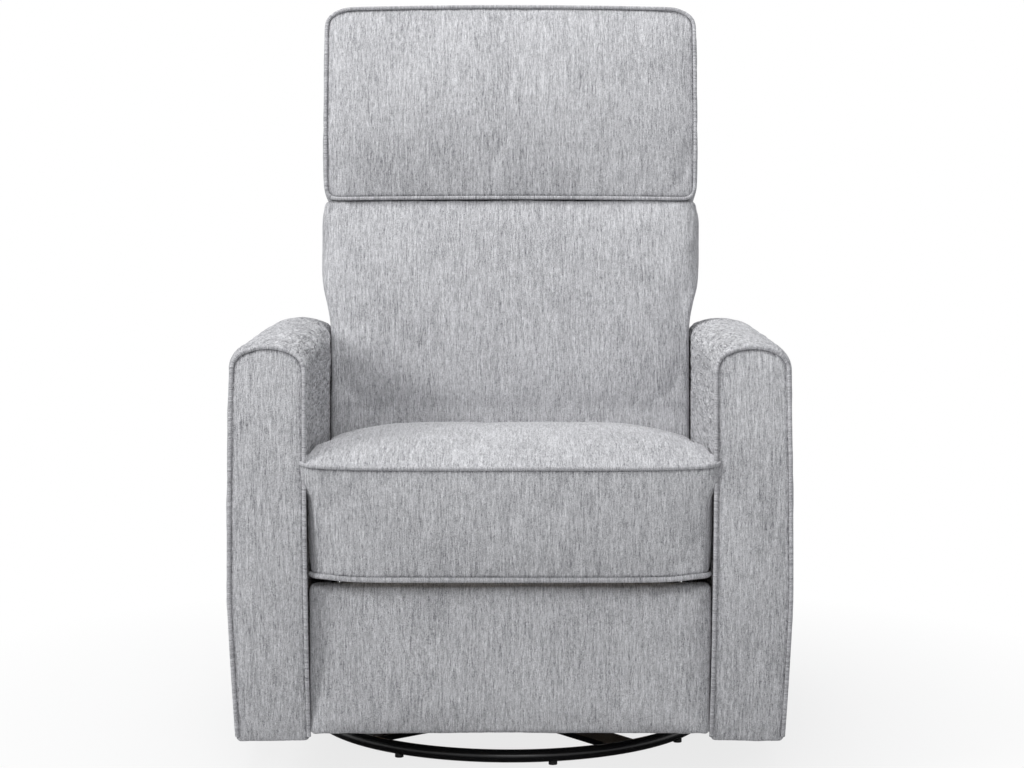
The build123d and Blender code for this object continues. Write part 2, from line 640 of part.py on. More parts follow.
def footrest_panel_pieces():
    """Board and crowned pad of the footrest."""
    half = FOOTREST_HALF_WIDTH - FOOTREST_BOARD_INSET
    pad_rear = FOOTREST_FRONT_Y + FOOTREST_PAD
    heights = (FOOTREST_LOW + FOOTREST_BOARD_INSET, FOOTREST_HIGH - FOOTREST_BOARD_INSET)
    board = block((-half, half), (pad_rear, board_rear), heights)
    sections = []
    middle = (FOOTREST_LOW + FOOTREST_HIGH) / 2
    for z, drop in ((FOOTREST_LOW, FOOTREST_CROWN), (middle, 0), (FOOTREST_HIGH, FOOTREST_CROWN)):
        edge_y = FOOTREST_FRONT_Y + drop + FOOTREST_CROWN
        corners = ((-FOOTREST_HALF_WIDTH, edge_y), (FOOTREST_HALF_WIDTH, edge_y))
        crown = (0, FOOTREST_FRONT_Y + drop)
        edges = [
            ThreePointArc(corners[0], crown, corners[1]),
            Line(corners[1], (FOOTREST_HALF_WIDTH, pad_rear)),
            Line((FOOTREST_HALF_WIDTH, pad_rear), (-FOOTREST_HALF_WIDTH, pad_rear)),
            Line((-FOOTREST_HALF_WIDTH, pad_rear), corners[0]),
        ]
        sections.append(Pos(0, 0, z) * make_face(edges))
    pad = loft(sections)
    corner_edges = [edge for edge in pad.edges() if abs((edge @ 1 - edge @ 0).Y) > FOOTREST_PAD / 2]
    save("footrest_board", board)
    save("footrest_pad", pad.fillet(FOOTREST_CORNER, corner_edges))


# ------------------------------------------------------------------ back
# Here Y is the distance behind the pivot, square to the back, and Z the distance along the back.
def save_back(node, *shapes):
    """Write pieces drawn along the back, leaned back in their place on the chair."""
    save(node, *[back_place * shape for shape in shapes])


def back_frame_pieces():
    """Wooden frame, steel brackets, springs, side borders and outside panel."""
    post_inner = BACK_FRAME_X - BACK_POST_WIDTH
    depth = (frame_front, frame_rear)
    rail_depth = (frame_rear - BACK_RAIL_DEPTH, frame_rear)
    post_top = BACK_TOP - BACK_TOP_BORDER
    post = block((post_inner, BACK_FRAME_X), depth, (BACK_POST_LOW, post_top))
    top_rail = block((-post_inner, post_inner), rail_depth, (post_top - BACK_RAIL_HEIGHT, post_top))
    bracket_x = post_inner - PLATE_THICK
    bottom = (BACK_BOTTOM_RAIL, BACK_BOTTOM_RAIL + BACK_RAIL_HEIGHT)
    bottom_rail = block((-bracket_x, bracket_x), rail_depth, bottom)
    outline = polygon(
        (-LINK_WIDTH / 2, 0),
        (LINK_WIDTH / 2, -LINK_WIDTH / 2),
        (frame_rear - FLANGE_THICK, BACK_BOTTOM_RAIL),
        (frame_rear - FLANGE_THICK, BRACKET_PLATE_TOP),
        (frame_front, BRACKET_PLATE_TOP),
        (frame_front, BRACKET_NECK),
        (-LINK_WIDTH / 2, LINK_WIDTH / 2),
    )
    outline += Circle(LINK_WIDTH * 0.75)
    outline -= Circle(BACK_PIVOT_RADIUS + SHAFT_GAP)
    bracket = plate(bracket_x, PLATE_THICK, outline)
    panel_depth = (frame_rear, back_rear)
    panel = block((-BACK_FRAME_X, BACK_FRAME_X), panel_depth, (BACK_PANEL_LOW, post_top))
    outline = back_border_outline()
    top_corner = max(outline.vertices(), key=lambda corner: corner.X + corner.Y)
    border = extrude(Plane.XZ * fillet(top_corner, HEAD_CORNER), back_rear - cushion_rear)
    border = Pos(0, back_rear, 0) * border
    top = block((-BACK_FRAME_X, BACK_FRAME_X), (cushion_rear, back_rear), (post_top, BACK_TOP))
    save_back("back_posts", *pair(post))
    save_back("back_rails", top_rail, bottom_rail)
    save_back("back_brackets", *pair(bracket))
    save_back("outside_back_panel", panel)
    save_back("back_borders", *pair(border), top)


def back_border_outline():
    """Padded side border of the back, which widens above the arms."""
    return polygon(
        (BACK_FRAME_X, BACK_POST_LOW),
        (BACK_HALF_LOW, BACK_POST_LOW),
        (BACK_HALF_ARM, BACK_ARM_LEVEL),
        (BACK_HALF_WIDE, BACK_WIDE_LEVEL),
        (BACK_HALF_WIDE, BACK_TOP),
        (BACK_FRAME_X, BACK_TOP),
    )


def back_spring_pieces():
    """Zigzag springs from post to post, on the front of the wooden frame."""
    post_middle = BACK_FRAME_X - BACK_POST_WIDTH / 2
    spring = zigzag_spring(2 * post_middle, BACK_SPRING_WIDTH, BACK_SPRING_TURNS)
    flat = Pos(-post_middle, frame_front - SPRING_WIRE / 2, 0) * Rot(X=90) * Rot(Z=-90) * spring
    springs = [
        Pos(0, 0, BACK_SPRING_FIRST + index * BACK_SPRING_SPACING) * flat
        for index in range(BACK_SPRING_COUNT)
    ]
    save_back("back_springs", *springs)


def cushion_section(level, half_width, front, crown):
    """Cross-section of a back cushion: flat behind, drawn-in sides and a crowned front."""
    edge = -front + crown
    rear_right = (half_width - SIDE_DRAW, cushion_rear)
    front_right = (half_width - SIDE_DRAW, edge)
    side_right = (half_width, (cushion_rear + edge) / 2)
    rear_left = (-rear_right[0], rear_right[1])
    front_left = (-front_right[0], front_right[1])
    side_left = (-side_right[0], side_right[1])
    edges = [
        Line(rear_left, rear_right),
        ThreePointArc(rear_right, side_right, front_right),
        ThreePointArc(front_right, (0, -front), front_left),
        ThreePointArc(front_left, side_left, rear_left),
    ]
    return Pos(0, 0, level) * make_face(edges)


def back_cushion_pieces():
    """Lumbar cushion, which widens above the arms, and the head cushion on top of it."""
    seam = HEAD_SEAM - SEAM_GAP
    widening = (BACK_ARM_LEVEL + BACK_WIDE_LEVEL) / 2
    between = (BACK_HALF_ARM + BACK_HALF_WIDE) / 2
    set_back = CUSHION_FRONT - LUMBAR_SETBACK
    crown_between = (LUMBAR_CROWN_ARM + LUMBAR_CROWN_WIDE) / 2
    lumbar = loft(
        [
            cushion_section(LUMBAR_LOW, BACK_HALF_LOW, set_back, LUMBAR_CROWN_LOW),
            cushion_section(BACK_ARM_LEVEL, BACK_HALF_ARM, CUSHION_FRONT, LUMBAR_CROWN_ARM),
            cushion_section(widening, between, CUSHION_FRONT, crown_between),
            cushion_section(BACK_WIDE_LEVEL, BACK_HALF_WIDE, set_back, LUMBAR_CROWN_WIDE),
            cushion_section(seam, BACK_HALF_WIDE, CUSHION_FRONT - LUMBAR_SEAM_SETBACK, SEAM_CROWN),
        ],
        ruled=True,
    )
    middle = (HEAD_SEAM + BACK_TOP) / 2
    head = loft(
        [
            cushion_section(HEAD_SEAM, BACK_HALF_WIDE, HEAD_FRONT - HEAD_SEAM_SETBACK, SEAM_CROWN),
            cushion_section(middle, BACK_HALF_WIDE, HEAD_FRONT, HEAD_CROWN),
            cushion_section(BACK_TOP, BACK_HALF_WIDE - HEAD_TOP_INSET, HEAD_FRONT - HEAD_TOP_SETBACK, SEAM_CROWN),
        ]
    )
    depth = HEAD_FRONT + cushion_rear
    top_sides = [
        edge
        for edge in head.edges()
        if edge.center().Z > BACK_TOP - HEAD_CORNER / 2 and abs((edge @ 1 - edge @ 0).Y) > depth / 2
    ]
    save_back("lumbar_cushion", lumbar)
    save_back("head_cushion", head.fillet(HEAD_CORNER, top_sides))


base_pieces()
swivel_pieces()
fixed_glider_pieces()
glide_link_pieces()
carriage_pieces()
arm_pieces()
rear_pieces()
seat_link_pieces()
seat_plate_pieces()
seat_box_pieces()
seat_cushion_piece()
footrest_link_pieces()
footrest_bracket_pieces()
footrest_panel_pieces()
back_frame_pieces()
back_spring_pieces()
back_cushion_pieces()
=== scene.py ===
import json
import math

import bmesh
import bpy
import numpy as np
from mathutils import Matrix, Vector, noise


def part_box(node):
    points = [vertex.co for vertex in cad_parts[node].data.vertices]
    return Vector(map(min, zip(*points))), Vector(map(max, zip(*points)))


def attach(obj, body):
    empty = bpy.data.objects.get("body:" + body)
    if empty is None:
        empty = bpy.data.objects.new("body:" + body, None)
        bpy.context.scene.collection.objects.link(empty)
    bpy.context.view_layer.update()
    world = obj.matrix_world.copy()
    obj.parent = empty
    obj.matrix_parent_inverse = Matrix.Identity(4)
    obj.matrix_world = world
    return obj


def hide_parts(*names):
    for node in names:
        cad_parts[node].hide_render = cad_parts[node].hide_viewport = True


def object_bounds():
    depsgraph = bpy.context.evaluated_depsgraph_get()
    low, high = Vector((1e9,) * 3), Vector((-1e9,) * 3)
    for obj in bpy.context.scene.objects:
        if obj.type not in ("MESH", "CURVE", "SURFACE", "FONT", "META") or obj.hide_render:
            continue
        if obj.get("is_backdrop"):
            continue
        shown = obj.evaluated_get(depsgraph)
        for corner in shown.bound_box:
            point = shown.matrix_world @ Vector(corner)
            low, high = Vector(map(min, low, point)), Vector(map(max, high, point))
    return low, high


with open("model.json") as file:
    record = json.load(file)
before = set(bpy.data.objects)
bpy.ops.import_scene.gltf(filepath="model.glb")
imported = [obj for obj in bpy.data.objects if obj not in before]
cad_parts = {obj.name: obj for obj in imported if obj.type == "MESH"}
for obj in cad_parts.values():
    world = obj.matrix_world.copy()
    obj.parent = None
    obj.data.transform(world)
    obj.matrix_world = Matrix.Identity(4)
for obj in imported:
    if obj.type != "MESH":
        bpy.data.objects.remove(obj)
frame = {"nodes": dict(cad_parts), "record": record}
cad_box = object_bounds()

bl_info = {
    "name": "Swivel glider recliner",
    "version": (1, 0, 0),
    "blender": (4, 5, 0),
    "location": "3D View > Sidebar > Recliner",
    "description": "Upholstery, finishes and studio for a swivel glider recliner",
    "category": "Object",
}

MM = 0.001

# Places that the upholstery shares with the frame, in millimetres. The back is drawn upright in
# its own coordinates, Y behind its pivot and Z along it, and then leaned into place.
BACK_PIVOT = (0, 150, 300)
BACK_LEAN = 15
BACK_REAR = 93
BACK_TOP = 735
BACK_CORNER = 27
CUSHION_FRONT = -90
CUSHION_REAR = 31
HEAD_SEAM = 441
LUMBAR_LOW = 52
ARM_FRONT_Y = -430
ARM_REAR_Y = 275
ARM_LOW_Z = 64
SEAT_FRONT_Y = -425

# Half widths of the back's covers: at the foot, where the back leaves the arms, and above them.
BACK_FOOT_HALF = 262
BACK_WAIST_HALF = 267
BACK_SHOULDER = 10.5
WAIST_HEIGHT = 240
SHOULDER_HEIGHT = 320
HEAD_HALF = 278.5

# The shell's lower edge, and the pocket in it that the recline uprights swing into.
SHELL_LOW = 8
POCKET_TOP = 56
POCKET_SHARE = 0.87

# The front panel's scoop: depth and height at its bulge, its lower end and its upper end.
ARM_BULGE = (ARM_FRONT_Y, 280)
ARM_SCOOP_LOW = (-400, 64)
ARM_SCOOP_HIGH = (-385, 587)
ARM_LENGTH_STEPS = (0, 2, 5, 9, 14, 20, 27, 35, 44)
ARM_END_STEPS = (648, 654, 659, 663, 666)
ARM_FALL = 30.5 / 660

# Seat cushion: the front band, the corners that bulge over the arms, and heights along its depth.
SEAT_HALF = 264.6
SEAT_FRONT_EXTRA = 2.9
SEAT_CORNER = 20
SEAT_EAR = 12
SEAT_UNDERSIDE = 362
BAND_LOW = 287
BAND_DEPTHS = (SEAT_FRONT_Y, -423.5, -421, -417.5, -413, -407)
SEAT_EDGE = (
    (-425, 437), (-421, 440), (-417, 444), (-412, 448), (-407, 450), (-400, 450.5), (-390, 450),
    (-350, 448), (-300, 444), (-250, 437.5), (-150, 423), (-50, 412), (90, 402),
)
SEAT_MIDDLE = (
    (-425, 434), (-412, 443), (-390, 449), (-350, 454.5), (-300, 457), (-250, 457), (-200, 454),
    (-150, 448.5), (-50, 435), (90, 418),
)

FOOTREST_LOW = (-265.5, -409, 73)
FOOTREST_HIGH = (265.5, -383, 277)

# A seam draws the skin in by the groove, over the lip on each side of it; painted shade darkens the
# pile over the same lip.
SEAM_GROOVE = 2.2
SEAM_LIP = 6.5
WELT_STEP = 0.003
CLOTH_FRAMES = 20

# Chenille: waves in a metre across and along its short threads and its long ribs.
THREADS = (720.0, 125.0)
RIBS = (420.0, 32.0)

# Stage: lamps as name, place, target, size and power; the camera as place, pitch and lens.
LAMPS = (
    ("key", (-3.8, -2.5, 2.8), (0, 0, 0.6), 1.8, 112),
    ("front", (0.3, -4.6, 1.9), (0, 0, 0.6), 2.0, 31),
    ("top", (-0.3, -0.3, 3.6), (0, 0, 0.4), 2.0, 66),
    ("rear", (1.6, 3.6, 2.2), (0, 0, 0.5), 2.4, 42),
)
CAMERA_PLACE = (0.0025, -4.05, 0.997)
CAMERA_PITCH = 7.1
CAMERA_LENS = 98.8
SENSOR_WIDTH = 36
FLOOR_HALF = 9000
SKY_STRENGTH = 0.33
SKY_COLOUR = (0.95, 0.97, 1.0, 1.0)
WHITE = (1.0, 1.0, 1.0, 1.0)


# ---------------------------------------------------------------- settings
class ReclinerSizes(bpy.types.PropertyGroup):
    """Sizes that an upholsterer would change."""

    welt_radius: bpy.props.FloatProperty(
        name="Welt radius",
        description="Radius of the piping",
        default=0.0028,
        unit="LENGTH",
        subtype="DISTANCE",
    )
    band_welt_radius: bpy.props.FloatProperty(
        name="Lower seat welt radius",
        description="Radius of the thicker piping under the seat's front band",
        default=0.0036,
        unit="LENGTH",
        subtype="DISTANCE",
    )
    pressure: bpy.props.FloatProperty(
        name="Filling pressure", description="Pressure that swells a padded panel", default=4.0
    )


class ReclinerColours(bpy.types.PropertyGroup):
    """Colours of the cover, the base and the frame."""

    pile_light: bpy.props.FloatVectorProperty(
        name="Pile, light",
        description="Lightest threads of the chenille",
        subtype="COLOR",
        default=(0.80, 0.80, 0.82),
    )
    pile_middle: bpy.props.FloatVectorProperty(
        name="Pile, middle",
        description="Main colour of the chenille",
        subtype="COLOR",
        default=(0.48, 0.48, 0.498),
    )
    pile_dark: bpy.props.FloatVectorProperty(
        name="Pile, dark",
        description="Shaded threads of the chenille",
        subtype="COLOR",
        default=(0.16, 0.16, 0.172),
    )
    base_paint: bpy.props.FloatVectorProperty(
        name="Base paint",
        description="Gloss paint of the ring and bars",
        subtype="COLOR",
        default=(0.012, 0.012, 0.013),
    )
    floor: bpy.props.FloatVectorProperty(
        name="Floor",
        description="Colour of the studio floor",
        subtype="COLOR",
        default=(0.62, 0.62, 0.62),
    )


# ---------------------------------------------------------------- shader building
class Signal:
    """A shader socket that takes part in Python expressions; each operator adds its Math node."""

    def __init__(self, finish, socket):
        self.finish = finish
        self.socket = socket

    def math(self, operation, *terms, clamp=False):
        settings = {"operation": operation, "use_clamp": clamp}
        return self.finish.node("Math", settings, dict(enumerate((self,) + terms)))

    def __add__(self, other):
        return self.math("ADD", other)

    __radd__ = __add__

    def __mul__(self, other):
        return self.math("MULTIPLY", other)

    __rmul__ = __mul__

    def __sub__(self, other):
        return self.math("SUBTRACT", other)

    def __rsub__(self, other):
        return self.math("MULTIPLY", -1.0) + other

    def __abs__(self):
        return self.math("ABSOLUTE")

    def clamped(self):
        return self.math("ADD", 0.0, clamp=True)


class NodeTree:
    """A node tree whose nodes are added with one method."""

    prefix = ""

    def __init__(self, tree):
        self.tree = tree
        self.tree.nodes.clear()

    def node(self, kind, settings=None, sockets=None, output=0):
        """Adds a node: first its settings, then the values or links of its sockets."""
        made = self.tree.nodes.new(self.prefix + kind)
        for key, value in (settings or {}).items():
            if key == "stops":
                fill_ramp(made.color_ramp, value)
            else:
                setattr(made, key, value)
        for key, value in (sockets or {}).items():
            if isinstance(value, Signal):
                self.tree.links.new(value.socket, made.inputs[key])
            else:
                made.inputs[key].default_value = value
        return Signal(self, made.outputs[output]) if len(made.outputs) else None

    def outputs(self, signal):
        """All outputs of the node that a signal comes from."""
        return [Signal(self, socket) for socket in signal.socket.node.outputs]


class Finish(NodeTree):
    """The shader tree of a material or of the world."""

    prefix = "ShaderNode"

    def __init__(self, holder):
        holder.use_nodes = True
        self.holder = holder
        super().__init__(holder.node_tree)

    def place(self):
        """Object coordinates, in metres."""
        return self.node("TexCoord", output="Object")

    def scaled(self, vector, scale):
        return self.node("VectorMath", {"operation": "MULTIPLY"}, {0: vector, 1: scale})

    def noise(self, vector, scale=1.0, detail=2.0, roughness=0.5, distortion=0.0):
        sockets = {"Vector": vector, "Scale": scale, "Detail": detail, "Roughness": roughness}
        sockets["Distortion"] = distortion
        return self.node("TexNoise", None, sockets)

    def ramp(self, value, *stops):
        return self.node("ValToRGB", {"stops": stops}, {"Fac": value})

    def mix(self, factor, first, second):
        return self.node("Mix", {"data_type": "RGBA"}, {0: factor, 6: first, 7: second}, output=2)

    def parts(self, vector):
        """The three parts of a vector."""
        return self.outputs(self.node("SeparateXYZ", None, {0: vector}))

    def bump(self, height, strength, distance):
        sockets = {"Strength": strength, "Distance": distance, "Height": height}
        return self.node("Bump", None, sockets)

    def close(self, **sockets):
        """Ends the tree in a Principled shader; underscores stand for spaces."""
        named = {key.replace("_", " "): value for key, value in sockets.items()}
        shader = self.node("BsdfPrincipled", None, named)
        self.node("OutputMaterial", None, {"Surface": shader})
        return self.holder


def new_finish(name):
    """A finish for a new material."""
    return Finish(bpy.data.materials.new(name))


def fill_ramp(ramp, stops):
    """Gives a colour ramp its stops, each a position and a colour."""
    while len(ramp.elements) > 1:
        ramp.elements.remove(ramp.elements[-1])
    for index, (position, colour) in enumerate(stops):
        stop = ramp.elements[0] if index == 0 else ramp.elements.new(position)
        stop.position = position
        stop.color = rgba(colour)


def rgba(colour):
    """A colour with full alpha."""
    return (colour[0], colour[1], colour[2], 1.0)


# ---------------------------------------------------------------- finishes
def chenille_tone(finish, threads, ribs, place):
    """Tone and height of the pile, from the coordinates of its short threads and of its long ribs, with
    painted shade along the seams.
    """
    fine = finish.noise(threads, 1.0, 2.0, 0.6, 0.25)
    rib = finish.noise(ribs, 1.0, 2.0, 0.55, 0.4)
    cloud = finish.noise(place, 9.0, 3.0, 0.55)
    grain = finish.noise(place, 850.0, 2.0, 0.6)
    tone = 0.5 + (fine - 0.5) * 0.95 + (rib - 0.5) * 0.75 + (cloud - 0.5) * 0.25 + (grain - 0.5) * 1.25
    # Painted shade: the seam attribute darkens the pile along the seams, where shade falls into the
    # grooves.
    seam = finish.node("Attribute", {"attribute_name": "seam"}, output="Fac")
    height = fine * 0.6 + rib * 0.8 + grain * 0.8
    return (tone - seam * 0.4).clamped(), height


def close_chenille(finish, tone, height):
    """Ends a chenille finish: the tone picks the pile's colour, the height raises its threads."""
    colours = bpy.context.scene.recliner_colours
    colour = finish.ramp(
        tone, (0.08, colours.pile_dark), (0.48, colours.pile_middle), (0.92, colours.pile_light)
    )
    return finish.close(
        Base_Color=colour,
        Roughness=0.93,
        Normal=finish.bump(height, 0.8, 0.0011),
        Sheen_Weight=0.08,
        Sheen_Roughness=0.45,
        Specular_IOR_Level=0.25,
    )


def chenille():
    """Chenille with streaks that run up the piece, on its front and on its sides."""
    finish = new_finish("chenille")
    place = finish.place()
    side = finish.parts(finish.node("TexCoord", output="Normal"))[0]
    on_side = ((abs(side) - 0.62) * 12.0).clamped()

    def run(narrow, long):
        on_front = finish.scaled(place, (narrow, long, long))
        return finish.mix(on_side, on_front, finish.scaled(place, (long, narrow, long)))

    tone, height = chenille_tone(finish, run(*THREADS), run(*RIBS), place)
    return close_chenille(finish, tone, height)


def crushed_chenille():
    """The arms' chenille: crushed over the crest and inside, with streaks that run up outside, and
    painted light that lifts its inner sides.
    """
    finish = new_finish("chenille_arm")
    place = finish.place()
    side, _, up = finish.parts(finish.node("TexCoord", output="Normal"))
    away = finish.parts(place)[0].math("SIGN") * side
    outward = ((away - 0.5) * 8.0).clamped()
    inward = (away * -1.6).clamped()
    crushed = (inward + up.clamped() * 0.4).clamped()

    def run(narrow, long):
        curled = finish.scaled(place, (narrow * 0.55, narrow * 0.16, narrow * 0.55))
        return finish.mix(outward, curled, finish.scaled(place, (long, narrow, long)))

    tone, height = chenille_tone(finish, run(*THREADS), run(*RIBS), place)
    folds = finish.noise(finish.scaled(place, (150.0, 22.0, 170.0)), 1.0, 3.0, 0.65, 1.4)
    height = height + folds * crushed * 9.0
    # Painted light: faces that turn inwards are lifted by 0.08 in tone, as though the key lamp lit
    # them; the folds vary the crushed pile's tone.
    tone = (tone + inward * 0.08 + (folds - 0.5) * crushed * 2.2).clamped()
    return close_chenille(finish, tone, height)


def welt_chenille():
    """The same chenille wrapped round a cord, its threads across the cord, and darkened by painted
    shade.
    """
    finish = new_finish("chenille_welt")
    place = finish.place()
    run = finish.node("Attribute", {"attribute_name": "along"}, output="Fac")
    near = finish.scaled(place, (60.0, 60.0, 60.0))

    def wrapped(narrow):
        turns = finish.node("CombineXYZ", None, {0: run * narrow})
        return finish.node("VectorMath", {"operation": "ADD"}, {0: turns, 1: near})

    tone, height = chenille_tone(finish, wrapped(760.0), wrapped(430.0), place)
    # Painted shade: the welt's tone is lowered by a tenth so that the cord reads darker than the
    # panels.
    return close_chenille(finish, tone * 0.9, height)


def gloss_paint(name, colour, roughness):
    """Paint with a faint orange peel and dust."""
    finish = new_finish(name)
    place = finish.place()
    peel = finish.noise(place, 260.0, 2.0, 0.5)
    dust = finish.noise(place, 45.0, 4.0, 0.6)
    shade = finish.mix(dust * 0.25, rgba(colour), rgba([part * 2.2 + 0.004 for part in colour]))
    return finish.close(
        Base_Color=shade,
        Roughness=dust * 0.12 + (roughness - 0.06),
        Normal=finish.bump(peel, 0.12, 0.0003),
        Specular_IOR_Level=0.4,
    )


def plated_steel():
    """Zinc-plated steel with fine drawing lines."""
    finish = new_finish("plated_steel")
    place = finish.place()
    drawn = finish.noise(finish.scaled(place, (900.0, 120.0, 120.0)), 1.0, 2.0, 0.5)
    stain = finish.noise(place, 60.0, 3.0, 0.6)
    shade = finish.mix(stain, (0.48, 0.48, 0.49, 1.0), (0.66, 0.65, 0.62, 1.0))
    return finish.close(
        Base_Color=shade,
        Metallic=1.0,
        Roughness=drawn * 0.2 + 0.22,
        Normal=finish.bump(drawn, 0.15, 0.0002),
    )


def timber():
    """Pale furniture plywood and poplar, its grain along the longest run."""
    finish = new_finish("timber")
    place = finish.place()
    grain = finish.noise(finish.scaled(place, (60.0, 60.0, 9.0)), 1.0, 5.0, 0.65, 0.8)
    pores = finish.noise(finish.scaled(place, (900.0, 900.0, 60.0)), 1.0, 2.0, 0.5)
    dark, middle, light = (0.34, 0.21, 0.11), (0.56, 0.39, 0.23), (0.67, 0.50, 0.32)
    shade = finish.ramp(grain, (0.3, dark), (0.55, middle), (0.75, light))
    shade = finish.mix(pores * 0.35, shade, (0.26, 0.16, 0.09, 1.0))
    bump = finish.bump(pores, 0.2, 0.0004)
    return finish.close(Base_Color=shade, Roughness=grain * 0.2 + 0.55, Normal=bump)


def moulded_plastic(name, colour):
    """Moulded plastic with a fine spark texture."""
    finish = new_finish(name)
    place = finish.place()
    spark = finish.noise(place, 1400.0, 2.0, 0.5)
    wear = finish.noise(place, 90.0, 3.0, 0.6)
    shade = finish.mix(wear * 0.3, rgba(colour), rgba([part * 1.6 + 0.01 for part in colour]))
    bump = finish.bump(spark, 0.2, 0.0002)
    return finish.close(Base_Color=shade, Roughness=wear * 0.15 + 0.4, Normal=bump)


# ---------------------------------------------------------------- mesh building
def new_object(name, points, faces, material):
    """A mesh object from points in millimetres."""
    mesh = bpy.data.meshes.new(name)
    mesh.from_pydata([tuple(point) for point in np.asarray(points) * MM], [], faces)
    mesh.update()
    piece = bpy.data.objects.new(name, mesh)
    bpy.context.scene.collection.objects.link(piece)
    mesh.materials.append(material)
    return piece


def read_points(mesh):
    """The places of a mesh's points, in millimetres."""
    points = np.empty(len(mesh.vertices) * 3)
    mesh.vertices.foreach_get("co", points)
    return points.reshape(-1, 3) / MM


def write_points(mesh, points):
    """Moves a mesh's points to places in millimetres."""
    mesh.vertices.foreach_set("co", (np.asarray(points) * MM).ravel())
    mesh.update()


def read_normals(mesh):
    """The outward directions at a mesh's points."""
    normals = np.empty(len(mesh.vertices) * 3)
    mesh.vertices.foreach_get("normal", normals)
    return normals.reshape(-1, 3)


def box_grid(counts, place):
    """Skin of a box as a grid, each point put by place(u, v, w). Returns points, faces and index."""
    across, deep, high = counts
    index, points, faces = {}, [], []

    def spot(i, j, k):
        if (i, j, k) not in index:
            index[i, j, k] = len(points)
            points.append(place(i / across, j / deep, k / high))
        return index[i, j, k]

    for i in range(across):
        for k in range(high):
            ring = [(i, k), (i + 1, k), (i + 1, k + 1), (i, k + 1)]
            faces.append([spot(a, 0, c) for a, c in ring])
            faces.append([spot(a, deep, c) for a, c in reversed(ring)])
    for j in range(deep):
        for k in range(high):
            ring = [(j, k), (j + 1, k), (j + 1, k + 1), (j, k + 1)]
            faces.append([spot(across, b, c) for b, c in ring])
            faces.append([spot(0, b, c) for b, c in reversed(ring)])
    for i in range(across):
        for j in range(deep):
            ring = [(i, j), (i + 1, j), (i + 1, j + 1), (i, j + 1)]
            faces.append([spot(a, b, high) for a, b in ring])
            faces.append([spot(a, b, 0) for a, b in reversed(ring)])
    return points, faces, index


def front_loop(index, counts):
    """Vertex numbers round the front face of a box grid, starting low on the left."""
    across, _, high = counts
    loop = [index[i, 0, 0] for i in range(across)]
    loop += [index[across, 0, k] for k in range(high)]
    loop += [index[i, 0, high] for i in range(across, 0, -1)]
    loop += [index[0, 0, k] for k in range(high, 0, -1)]
    return loop


def rounded(point, low, high, radius):
    """Moves a point on the skin of a box onto the same box with rounded edges."""
    inner = [min(max(value, a + radius), b - radius) for value, a, b in zip(point, low, high)]
    away = [value - near for value, near in zip(point, inner)]
    length = math.sqrt(sum(part * part for part in away))
    if length < 1e-9:
        return point
    return [near + part * radius / length for near, part in zip(inner, away)]


def in_box(low, high, shares):
    """The point at the given shares of a box's three sides."""
    return [a + (b - a) * t for a, b, t in zip(low, high, shares)]


def arc(first, middle, last, count):
    """Points of a circular arc through three points in a plane, the last one left out."""
    ax, ay = first
    bx, by = middle
    cx, cy = last
    d = 2 * (ax * (by - cy) + bx * (cy - ay) + cx * (ay - by))
    ux = ((ax**2 + ay**2) * (by - cy) + (bx**2 + by**2) * (cy - ay) + (cx**2 + cy**2) * (ay - by)) / d
    uy = ((ax**2 + ay**2) * (cx - bx) + (bx**2 + by**2) * (ax - cx) + (cx**2 + cy**2) * (bx - ax)) / d
    radius = math.hypot(ax - ux, ay - uy)
    start, mid, end = (math.atan2(y - uy, x - ux) for x, y in (first, middle, last))
    turn = (end - start) % (2 * math.pi)
    if (mid - start) % (2 * math.pi) > turn:
        turn -= 2 * math.pi
    angles = [start + turn * step / count for step in range(count)]
    return [(ux + radius * math.cos(a), uy + radius * math.sin(a)) for a in angles]


def straight(first, last, count):
    """Points of a straight run, the last one left out."""
    a, b = np.array(first, float), np.array(last, float)
    return [tuple(a + (b - a) * step / count) for step in range(count)]


def swell(piece, held, cap, pressure=None):
    """Swells a closed cover as cloth under pressure, and moves no point by more than the cap."""
    scene = bpy.context.scene
    mesh = piece.data
    before = read_points(mesh)
    group = piece.vertex_groups.new(name="held")
    group.add([int(number) for number in held], 1.0, "REPLACE")
    cloth = piece.modifiers.new("Cloth", "CLOTH")
    settings = cloth.settings
    settings.quality = 5
    settings.mass = 0.25
    settings.tension_stiffness = 15
    settings.compression_stiffness = 12
    settings.shear_stiffness = 6
    settings.bending_stiffness = 0.6
    settings.shrink_min = -0.012
    settings.use_pressure = True
    settings.uniform_pressure_force = pressure or scene.recliner_sizes.pressure
    settings.vertex_group_mass = "held"
    settings.effector_weights.gravity = 0
    cloth.collision_settings.use_collision = False
    cloth.point_cache.frame_start = 1
    cloth.point_cache.frame_end = CLOTH_FRAMES
    for number in range(1, CLOTH_FRAMES + 1):
        scene.frame_set(number)
    result = piece.evaluated_get(bpy.context.evaluated_depsgraph_get())
    after = read_points(result.data)
    scene.frame_set(1)
    piece.modifiers.remove(cloth)
    piece.vertex_groups.clear()
    moved = after - before
    length = np.maximum(np.linalg.norm(moved, axis=1), 1e-6)
    write_points(mesh, before + moved * (cap * np.tanh(length / cap) / length)[:, None])


def soften(piece):
    """Subdivides a piece once and leaves a plain smooth mesh."""
    smooth = piece.modifiers.new("Subdivision", "SUBSURF")
    smooth.levels = smooth.render_levels = 1
    depsgraph = bpy.context.evaluated_depsgraph_get()
    mesh = bpy.data.meshes.new_from_object(piece.evaluated_get(depsgraph))
    piece.modifiers.clear()
    old, piece.data = piece.data, mesh
    mesh.name = old.name
    bpy.data.meshes.remove(old)
    mesh.polygons.foreach_set("use_smooth", [True] * len(mesh.polygons))


